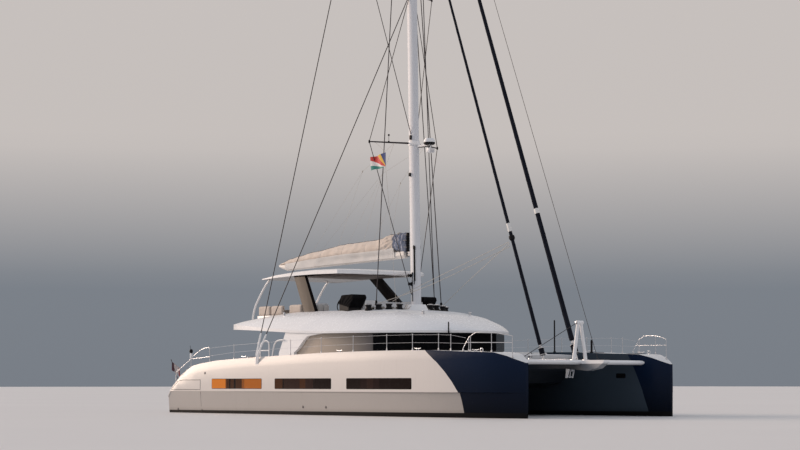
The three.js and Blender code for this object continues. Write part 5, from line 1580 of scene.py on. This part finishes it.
# Helm covers: black cloth over each console's top and front, with sides that hang
COVER_LINE = [  # x, z over the console's middle
    (-2.345, 4.9), (-2.335, 4.97), (-2.235, 5.13), (-2.13, 5.272), (-1.9, 5.285), (-1.62, 5.288),
    (-1.4, 5.298), (-1.335, 5.24), (-1.305, 5.15), (-1.42, 4.98), (-1.53, 4.83), (-1.6, 4.72),
]
COVER_HALF = 0.378
COVER_ACROSS, COVER_DOWN = 32, 8
HELM_Y = 2.07
WHEEL_TILT = Matrix.Rotation(math.radians(20), 3, "Y")
GRIP_RADIUS = 0.36
for side_name, side in SIDES.items():
    line = [Vector((x, 0, z)) for x, z in COVER_LINE]
    line = [line[0]] + [a.lerp(b, t) for a, b in zip(line, line[1:]) for t in (0.25, 0.5, 0.75, 1.0)]
    rows = []
    for p in line:
        ring = []
        for k in range(COVER_ACROSS + 1):
            v = k / COVER_ACROSS * 2 - 1
            sway = 0.01 * folds((p.x * 4, v * 3, p.z * 4), 1.0, 7.0 + side)
            out = Vector((p.x + 1.85, 0, p.z - 4.85)).normalized()
            ring.append(p + Vector((0, HELM_Y * side + v * COVER_HALF, 0)) + out * (0.004 + abs(sway)))
        rows.append(ring)
    bm = bmesh.new()
    skin_rings(bm, rows, closed=False)
    for edge, sign in ((0, -1), (-1, 1)):
        panel = []
        for i, ring in enumerate(rows):
            rim = ring[edge]
            low = line[0].lerp(line[-1], i / (len(rows) - 1)) + Vector((0, rim.y, 0))
            hanging = []
            for k in range(COVER_DOWN + 1):
                wave = 0.012 * math.sin(math.pi * k / COVER_DOWN) * (1 + math.sin(i * 0.9 + k * 0.4))
                hanging.append(rim.lerp(low, k / COVER_DOWN) + Vector((0, sign * wave, 0)))
            panel.append(hanging)
        skin_rings(bm, panel, closed=False)
    cover = settle("helm_cover_" + side_name, bm, "cover", sharp_deg=80)
    centre = Vector((-2.45, HELM_Y * side, 4.87))
    grip = [centre + WHEEL_TILT @ Vector((0, GRIP_RADIUS * math.cos(a), GRIP_RADIUS * math.sin(a)))
            for a in angles(48, closed=True)]
    wheel = "helm_wheel_" + side_name
    build("helm_wheel_grip_" + side_name, "cover", wheel, bars=[(grip, 0.021, 10)])

# Roof gear ahead of the flybridge well
WINCHES = [(-0.47, 2.25), (-0.22, 1.86), (-0.1, 1.38), (0.05, 0.9)]
WINCH_OUTLINE = [
    (0.165, -0.05), (0.165, 0.02), (0.15, 0.035), (0.135, 0.06), (0.115, 0.12), (0.125, 0.18), (0.15, 0.2),
    (0.15, 0.235),
]
WINCH_TOP = [(0.148, 0.232), (0.148, 0.255), (0.09, 0.272), (0.035, 0.285), (0.02, 0.285)]
ROPE_EXITS = [(-0.18, 0.3), (-0.05, 0.36), (0.1, 0.42), (0.3, 0.44)]  # beside the mast's foot
CLUTCHES = [(-0.36, 0.62), (-0.42, 0.98), (-0.56, 1.4), (-0.66, 1.9)]
VENT = [(0.07, -0.03), (0.07, 0.01), (0.05, 0.02), (0.05, 0.09), (0.085, 0.11), (0.07, 0.13), (0.02, 0.14)]
VENTS = [(2.2, 1.35), (2.2, -1.35), (-5.2, 3.35), (-5.2, -3.35)]
ROOF_BLOCKS = [(-0.49, 2.0), (-0.98, 2.32), (-0.49, -2.0)]


def on_roof(x, y, up=0.0):
    """A point over the roof at x and y."""
    return (x, y, deck_z(x, y, ROOF) + up)


def roof_block(x, y, half_x, half_y, low, high, round_off):
    """A block's arguments, from its middle on the roof."""
    z = on_roof(x, y)[2]
    return ((x - half_x, y - half_y, z + low), (x + half_x, y + half_y, z + high), round_off)


winch_places = [on_roof(x, y * side) for side in SIDES.values() for x, y in WINCHES]
clutch_places = [(x, y * side) for side in SIDES.values() for x, y in CLUTCHES]
build("roof_winches", "black", turned=[(WINCH_OUTLINE, place, 24) for place in winch_places],
      blocks=[roof_block(x, y, 0.1, 0.07, -0.02, 0.09, 0.02) for x, y in clutch_places])
build("roof_winch_tops", "steel", turned=[(WINCH_TOP, place, 24) for place in winch_places])
lines = []
for side in SIDES.values():
    for (x0, y0), (x1, y1) in zip(ROPE_EXITS, WINCHES[::-1]):
        line = []
        for i in range(13):
            share = i / 12
            x, y = x0 + (x1 - x0) * share, (y0 + (y1 - y0) * share) * side
            line.append(on_roof(x, y, 0.022 + 0.09 * share ** 3))
        lines.append(line)
wires("control_lines", "rope", 0.011, lines)

# White caps over the winch blocks and the low wall between them
build("winch_block_caps", "white", blocks=[
    ((-2.065, 0.935, 4.985), (-1.385, 1.695, 5.05), 0.03),
    ((-2.065, -1.695, 4.985), (-1.385, -0.935, 5.05), 0.03),
    ((-1.585, -0.96, 4.945), (-1.415, 0.96, 5.01), 0.03),
])

# Post, blocks and vents on the roof
build("roof_posts_and_blocks", "black",
      turned=[([(0.018, 0.0), (0.03, 0.01), (0.03, 0.46), (0.02, 0.5)], (4.275, -1.715, 3.46), 14)],
      blocks=[((4.2, -1.7, 3.5), (4.27, -1.65, 3.56)),
              *(roof_block(x, y, 0.09, 0.05, -0.01, 0.12, 0.025) for x, y in ROOF_BLOCKS)])
build("roof_vents", "steel", turned=[(VENT, on_roof(x, y), 18) for x, y in VENTS])

# Table and bar on the flybridge, table in the cockpit
TABLE_LEGS = [  # x, y, low z, height
    (-6.65, -1.12, 4.0, 0.7), (-5.85, -1.12, 4.0, 0.7), (-7.5, -0.5, 1.95, 0.55), (-7.5, 0.5, 1.95, 0.55),
]
build("tables", "teak", blocks=[
    ((-7.05, -1.62, 4.7), (-5.45, -0.62, 4.745), 0.02),
    ((-8.05, -0.95, 2.5), (-6.95, 0.95, 2.55), 0.02),
])
build("table_legs", "steel", turned=[
    ([(0.16, 0.0), (0.16, 0.015), (0.045, 0.05), (0.04, tall - 0.04), (0.12, tall)], (x, y, low), 20)
    for x, y, low, tall in TABLE_LEGS
])
build("bar_unit", "white", blocks=[((-8.15, 1.95, 4.0), (-6.75, 2.62, 4.8), 0.04)])
build("bar_worktop", "dark_panel", blocks=[
    ((-8.18, 1.92, 4.8), (-6.72, 2.65, 4.83), 0.012),
    ((-8.05, 2.02, 4.83), (-7.5, 2.5, 4.85)),
])

# Guard beside the flybridge's stair
GUARD_Y = 1.62
GUARD_LOOP = [(-6.48, 4.02), (-6.44, 4.8), (-6.3, 4.88), (-4.7, 4.88), (-4.56, 4.8), (-4.52, 4.02)]
build("stair_guard", "steel", bars=[
    *(([(x, GUARD_Y, 4.0), (x, GUARD_Y, 4.86)], 0.016) for x in (-6.42, -5.5, -4.58)),
    (smooth_line([(x, GUARD_Y, z) for x, z in GUARD_LOOP], 5), 0.018),
    ([(-6.44, GUARD_Y, 4.45), (-4.56, GUARD_Y, 4.45)], 0.012),
])

# Hardtop: underside panel with battens, and roof hatches
TOP_HATCHES = [(x, y) for y in (-0.95, 0.95) for x in (-6.5, -4.4)]
build("hardtop_lining", "lining", blocks=[((-6.25, -1.95, 6.272), (-2.95, 1.95, 6.292), 0.008)])
build("hardtop_lining_battens", "dark_panel", blocks=[
    ((x - 0.02, -1.9, 6.262), (x + 0.02, 1.9, 6.275), 0.004) for x in (-5.4, -4.6, -3.8)
])
for name, look, slot, half, low, high, round_off in (
    ("hardtop_hatch_frames", "white", "spar", 0.42, 6.5, 6.545, 0.02),
    ("hardtop_hatch_glass", "glass", "dark_glass", 0.36, 6.535, 6.552, 0.01),
):
    build(name, look, blocks=[
        ((x - half, y - half, low), (x + half, y + half, high), round_off) for x, y in TOP_HATCHES
    ])

# Doors of the saloon: frames and handles
FRAME_BAR = 0.07


def leaf_frame(x0, x1, y0, y1, z0, z1):
    """Block arguments for the four bars of a door's frame."""
    bars = [((x0, y0, low), (x1, y1, low + FRAME_BAR), 0.006) for low in (z0, z1 - FRAME_BAR)]
    low, high = z0 + FRAME_BAR - 0.005, z1 - FRAME_BAR + 0.005
    return bars + [((x0, y, low), (x1, y + FRAME_BAR, high), 0.006) for y in (y0, y1 - FRAME_BAR)]


HANDLE = [
    (-3.769, 0.1, 2.55), (-3.82, 0.1, 2.58), (-3.83, 0.1, 2.85), (-3.82, 0.1, 3.12),
    (-3.769, 0.1, 3.15),
]
build("fixed_leaf_frame", "black", blocks=leaf_frame(-3.684, -3.631, -2.398, -0.032, 1.954, 3.436))
build("sliding_leaf_frame", "black", "saloon_door",
      blocks=leaf_frame(-3.769, -3.716, -0.078, 2.456, 1.96, 3.456))
build("sliding_leaf_handle", "steel", "saloon_door", bars=[(smooth_line(HANDLE, 5), 0.014)])


# Hull details
def inner_y(x, z, side):
    """Inner face of a hull at this x and z."""
    return HULLS.ray_cast(Vector((x, 0, z)), Vector((0, side, 0)))[0].y


def add_side_line(bm, points, side, radius):
    """A fine raised line on a hull's outer face, by rows of (x, z)."""
    line = []
    for (x0, z0), (x1, z1) in zip(points, points[1:]):
        count = max(2, int(math.hypot(x1 - x0, z1 - z0) / 0.25))
        line += [(x0 + (x1 - x0) * i / count, z0 + (z1 - z0) * i / count) for i in range(count)]
    line.append(points[-1])
    add_tube(bm, [(x, hull_y(x, z, side), z) for x, z in line], radius, 6)


STERN_PANEL = [
    (-8.93, 1.52), (-10.45, 1.515), (-10.8, 1.455), (-11.34, 1.09), (-11.3, 1.075), (-8.93, 1.08),
    (-8.93, 1.52),
]
STERN_SEAM = [(-8.94, 1.56), (-8.94, 0.3)]
OUTLETS = [(-10.84, 0.17), (-8.89, 0.13), (-8.55, 1.83), (-1.2, 0.35), (0.4, 0.35)]  # x, z
OUTLET = [(0.03, -0.02), (0.055, -0.01), (0.055, 0.008), (0.035, 0.012), (0.03, -0.01)]
BOW_WINDOW_Z = (1.575, 1.775)
BOW_WINDOW = [(9.27, 0.03), (9.3, 0.0), (9.5, 0.0), (9.73, 0.0), (9.76, 0.03)]  # x, inset of its edges
for side_name, side in SIDES.items():
    bm = bmesh.new()
    add_side_line(bm, STERN_PANEL, side, 0.01)
    add_side_line(bm, STERN_SEAM, side, 0.005)
    settle("stern_panel_lines_" + side_name, bm, "dark_panel")
    build("hull_outlets_" + side_name, "rod", turned=[
        (OUTLET, (x, hull_y(x, z, side), z), 18, (0, side, 0)) for x, z in OUTLETS
    ])
    bm = bmesh.new()
    rings = []
    for x, inset in BOW_WINDOW:
        faces = [(z, inner_y(x, z, side)) for z in (BOW_WINDOW_Z[0] + inset, BOW_WINDOW_Z[1] - inset)]
        ring = [(x, y - side * 0.005, z) for z, y in faces]
        rings.append(ring + [(x, y + side * 0.02, z) for z, y in faces[::-1]])
    skin_rings(bm, rings)
    settle("bow_window_" + side_name, bm, "glass")

# Cleats, a fairlead and deck hatches, mirrored to both hulls
CLEATS = [(-10.45, 5.02), (-6.0, 5.02), (1.0, 5.02), (6.1, 4.98), (9.32, 4.72)]
CLEAT_HORNS = [(-0.19, 0.09), (-0.1, 0.075), (0.1, 0.075), (0.19, 0.09)]
FAIRLEAD = (9.72, 4.76)
FAIRLEAD_RADIUS = 0.075
DECK_HATCHES = [
    (-1.6, 4.62, 0.28), (1.7, 4.62, 0.28), (4.4, 4.55, 0.25), (7.1, 4.15, 0.3), (9.6, 4.1, 0.3),
]
HATCH_RIM = 0.05
FLATTEST = 0.06  # a hatch's corners may differ by this much in height
for side_name, side in SIDES.items():
    bars = []
    for x, y in CLEATS:
        z = deck_z(x, y * side)
        for off in (-0.06, 0.06):
            bars.append(([(x + off, y * side, z - 0.01), (x + off, y * side, z + 0.07)], 0.02, 10))
        bars.append((smooth_line([(x + off, y * side, z + up) for off, up in CLEAT_HORNS], 4), 0.018, 10))
    x, y = FAIRLEAD
    z = deck_z(x, y * side) + 0.07
    ring = [(x + FAIRLEAD_RADIUS * math.cos(a), y * side, z + FAIRLEAD_RADIUS * math.sin(a))
            for a in angles(24, closed=True)]
    build("cleats_" + side_name, "steel", bars=[*bars, (ring, 0.019, 10)])
    frames, panes = [], []
    for x, y, half in DECK_HATCHES:
        y *= side
        pane = half - HATCH_RIM
        corners = [deck_z(x + a * half, y + b * half) for a in (-1, 1) for b in (-1, 1)]
        low, high = min(corners), max(corners)
        if high - low <= FLATTEST:
            frames.append(((x - half, y - half, low - 0.01), (x + half, y + half, high + 0.004), 0.006))
            panes.append(((x - pane, y - pane, high - 0.01), (x + pane, y + pane, high + 0.008), 0.004))
    build("deck_hatch_frames_" + side_name, "dark_panel", blocks=frames)
    build("deck_hatch_panes_" + side_name, "glass", blocks=panes)

# Poles on the foredeck
POLES = [(5.58, 3.25, 1.4, 0.032), (7.83, 3.25, 0.55, 0.045)]  # x, y, height, radius
build("foredeck_poles", "black", turned=[
    ([(r + 0.03, -0.02), (r + 0.03, 0.03), (r, 0.05), (r, tall - 0.03), (r / 2, tall)],
     (x, y, deck_z(x, y)), 14)
    for x, y, tall, r in POLES
])

# Striker's wire, windlass, chain and anchor roller
WINDLASS = [(0.14, -0.01), (0.14, 0.03), (0.09, 0.05), (0.07, 0.12), (0.1, 0.17), (0.1, 0.21), (0.03, 0.24)]
STRIKER_EYE = [(0.03, -0.03), (0.065, -0.02), (0.065, 0.02), (0.03, 0.03)]
ROLLER = [(0.02, -0.05), (0.055, -0.045), (0.035, 0.0), (0.055, 0.045), (0.02, 0.05)]
LINKS, LINK_PITCH, LINK_HALF = 34, 0.062, (0.042, 0.02)
build("striker_wire", "rod", bars=[([(10.37, -0.16, 3.8), (10.44, -3.42, 2.29)], 0.013)])
build("striker_fittings", "steel",
      turned=[(STRIKER_EYE, (10.37, 0.17 * side, 3.815), 20, (0, side, 0)) for side in SIDES.values()],
      blocks=[((10.28, 0.345 * side - 0.12, 2.255), (10.46, 0.345 * side + 0.12, 2.32), 0.012)
              for side in SIDES.values()])
build("windlass", "steel", turned=[(WINDLASS, (7.45, 0.0, 2.29), 24)],
      blocks=[((7.62, -0.09, 2.285), (7.95, 0.09, 2.33), 0.012)])
links = []
for i in range(LINKS):
    x = 7.62 + i * LINK_PITCH
    long, short = LINK_HALF
    flat = i % 2 == 0
    round_link = [(long * math.cos(a), short * math.sin(a)) for a in angles(10, closed=True)]
    links.append(([(x + u, v * flat, 2.325 + v * (not flat)) for u, v in round_link], 0.008, 5))
build("anchor_chain", "steel", bars=links)
build("anchor_roller", "steel", turned=[(ROLLER, (9.9, 0, 1.9), 16, (0, 1, 0))],
      blocks=[((9.62, y, 1.84), (9.98, y + 0.02, 1.97), 0.008) for y in (-0.075, 0.055)])

# Anchor: two blades on a crown, hanging by its shank
BLADE_ROWS = [(1.935, 9.875), (1.78, 9.85), (1.575, 9.79)]  # z, x
BLADES = [(-0.19, (0.09, 0.075, 0.055)), (0.15, (0.03, 0.03, 0.025))]  # y, half width at each row
BLADE_HALF = 0.014
bm = bmesh.new()
for y, halves in BLADES:
    rings = []
    for (z, x), half in zip(BLADE_ROWS, halves):
        corners = ((-half, -BLADE_HALF), (half, -BLADE_HALF), (half, BLADE_HALF), (-half, BLADE_HALF))
        rings.append([(x + along, y + over, z) for along, over in corners])
    skin_rings(bm, rings)
add_tube(bm, [(9.82, -0.19, 1.64), (9.8, 0.0, 1.6), (9.82, 0.15, 1.64)], 0.018, 12)
add_tube(bm, [(9.8, 0.0, 1.6), (9.84, 0.0, 1.94)], 0.018, 12)
anchor = settle("anchor_blades_and_shank", bm, "galvanised")
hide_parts("anchor")


# Trampolines: crossing cords in a webbing border, laced to what is round them
NET_X = (6.975, 10.27)
NET_LONG = NET_X[1] - NET_X[0]
NET_INNER_Y = 0.2
NET_PITCH = 0.065
NET_Z = 2.25
NET_SAG = 0.035
CORD_STEPS = 24
BORDER_STEPS, BORDER_WIDTH, BORDER_LOW, BORDER_HIGH = 30, 0.055, -0.006, 0.012
LACES = 46


def net_edge(x):
    return inner_y(x, NET_Z, PORT) - 0.045


def net_height(x, y):
    length = (x - NET_X[0]) / NET_LONG
    width = (y - NET_INNER_Y) / (net_edge(x) - NET_INNER_Y)
    return NET_Z - NET_SAG * 16 * length * (1 - length) * max(width * (1 - width), 0.0)


def net_x(share):
    return NET_X[0] + NET_LONG * share


for side_name, side in SIDES.items():
    cords = []
    widest = max(net_edge(net_x(i / 40)) for i in range(41))
    y = NET_INNER_Y + NET_PITCH
    while y < widest:
        xs = [x for x in (net_x(i / CORD_STEPS) for i in range(CORD_STEPS + 1)) if net_edge(x) > y]
        if len(xs) > 2:
            cords.append([(x, side * y, net_height(x, y)) for x in xs])
        y += NET_PITCH
    x = NET_X[0] + NET_PITCH
    while x < NET_X[1] - NET_PITCH / 2:
        reach = net_edge(x) - NET_INNER_Y
        ys = [NET_INNER_Y + reach * i / CORD_STEPS for i in range(CORD_STEPS + 1)]
        cords.append([(x, side * y, net_height(x, y) + 0.008) for y in ys])
        x += NET_PITCH
    net = wires("net_cords_" + side_name, "net", 0.006, cords, 4)
    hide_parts("trampoline_" + side_name)
    border = [(NET_X[0], NET_INNER_Y), (NET_X[1], NET_INNER_Y)]
    border += [(x, net_edge(x)) for x in (net_x(1 - i / BORDER_STEPS) for i in range(BORDER_STEPS + 1))]
    border.append(border[0])
    middle_x = sum(x for x, y in border) / len(border)
    rings = []
    for x, y in border:
        inward_x = BORDER_WIDTH * ((x < middle_x - 1.4) - (x > middle_x + 1.4))
        inward_y = BORDER_WIDTH if y < NET_INNER_Y + 0.01 else -BORDER_WIDTH
        corners = ((0, BORDER_LOW), (0, BORDER_HIGH), (1, BORDER_HIGH), (1, BORDER_LOW))
        rings.append([(x + inward_x * a, (y + inward_y * a) * side, NET_Z + up) for a, up in corners])
    bm = bmesh.new()
    skin_rings(bm, rings)
    settle("net_border_" + side_name, bm, "net")
    outer, inner, fore = [], [], []
    for i in range(LACES + 1):
        out = i % 2
        x = NET_X[0] + 0.05 + (NET_LONG - 0.1) * i / LACES
        y = NET_INNER_Y + 0.06 + (net_edge(NET_X[1]) - NET_INNER_Y - 0.12) * i / LACES
        outer.append((x, side * (net_edge(x) + (0.04 if out else -0.03)), NET_Z + 0.016))
        inner.append((x, side * (NET_INNER_Y + (0.03 if out else -0.025)), NET_Z + 0.016))
        fore.append((NET_X[1] + (0.014 if out else -0.04), side * y, NET_Z + 0.016))
    wires("net_lacing_" + side_name, "rope", 0.007, [outer, inner, fore], 5)

# Stern platform: edge trim and a folded ladder
build("platform_fender", "cover", "stern_platform",
      blocks=[((-11.56, -2.96, 0.655), (-11.5, 2.96, 0.775), 0.02)])
build("folded_ladder", "steel", "stern_platform", bars=[
    *(([(-11.46, y, 0.79), (-10.6, y, 0.79)], 0.018, 10) for y in (-0.22, 0.22)),
    *(([(x, -0.22, 0.79), (x, 0.22, 0.79)], 0.018, 10) for x in (-11.35, -11.1, -10.85, -10.65)),
])

# Lamps under the roof's overhang
CEILING_LAMP = [(0.02, -0.012), (0.075, -0.012), (0.085, 0.0), (0.085, 0.01), (0.02, 0.01)]
HIGHEST_CEILING = 4.05
lamps = []
for x in (-9.2, -7.9, -5.1):
    for y in (-2.4, 0.0, 2.4):
        ceiling = ROOF.ray_cast(Vector((x, y, 2.6)), Vector((0, 0, 1)))[0]
        if ceiling and ceiling.z < HIGHEST_CEILING:
            lamps.append((CEILING_LAMP, ceiling, 18))
build("ceiling_lamps", "tape", turned=lamps)

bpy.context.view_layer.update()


# Floor at the waterline, and soft light
def build_studio():
    half = FLOOR_HALF
    mesh = bpy.data.meshes.new("floor")
    corners = [(-half, -half, 0), (half, -half, 0), (half, half, 0), (-half, half, 0)]
    mesh.from_pydata(corners, [], [(0, 1, 2, 3)])
    made, tree, surface = finish("floor_pale", Roughness=0.55)
    place = position(tree)[0]
    drift = node(tree, "TexNoise", Vector=place, Scale=0.05, Detail=3.0).outputs[0]
    join(tree, surface["Base Color"], blend_color(tree, drift, (0.6, 0.59, 0.59), (0.66, 0.65, 0.64)))
    mesh.materials.append(made)
    floor = bpy.data.objects.new("floor", mesh)
    bpy.context.scene.collection.objects.link(floor)
    world = bpy.data.worlds.new("studio")
    world.use_nodes = True
    tree = world.node_tree
    upward = node(tree, "SeparateXYZ", Vector=node(tree, "TexCoord").outputs["Generated"]).outputs[2]
    share = scaled(tree, upward, 0.5, 0.5)
    lighting = node(tree, "LightPath").outputs["Is Diffuse Ray"]
    seen = blend_color(tree, lighting, ramp(tree, share, BACKDROP_STOPS), ramp(tree, share, SKY_STOPS))
    join(tree, tree.nodes["Background"].inputs["Color"], seen)
    bpy.context.scene.world = world
    bpy.context.scene.view_settings.view_transform = "Standard"
    lamp = bpy.data.lights.new("key", "SUN")
    lamp.energy = KEY_STRENGTH
    lamp.color = KEY_COLOR
    lamp.angle = math.radians(KEY_SPREAD_DEG)
    key = bpy.data.objects.new("key", lamp)
    key.rotation_euler = Vector(KEY_DIRECTION).to_track_quat("Z", "Y").to_euler()
    bpy.context.scene.collection.objects.link(key)


build_studio()
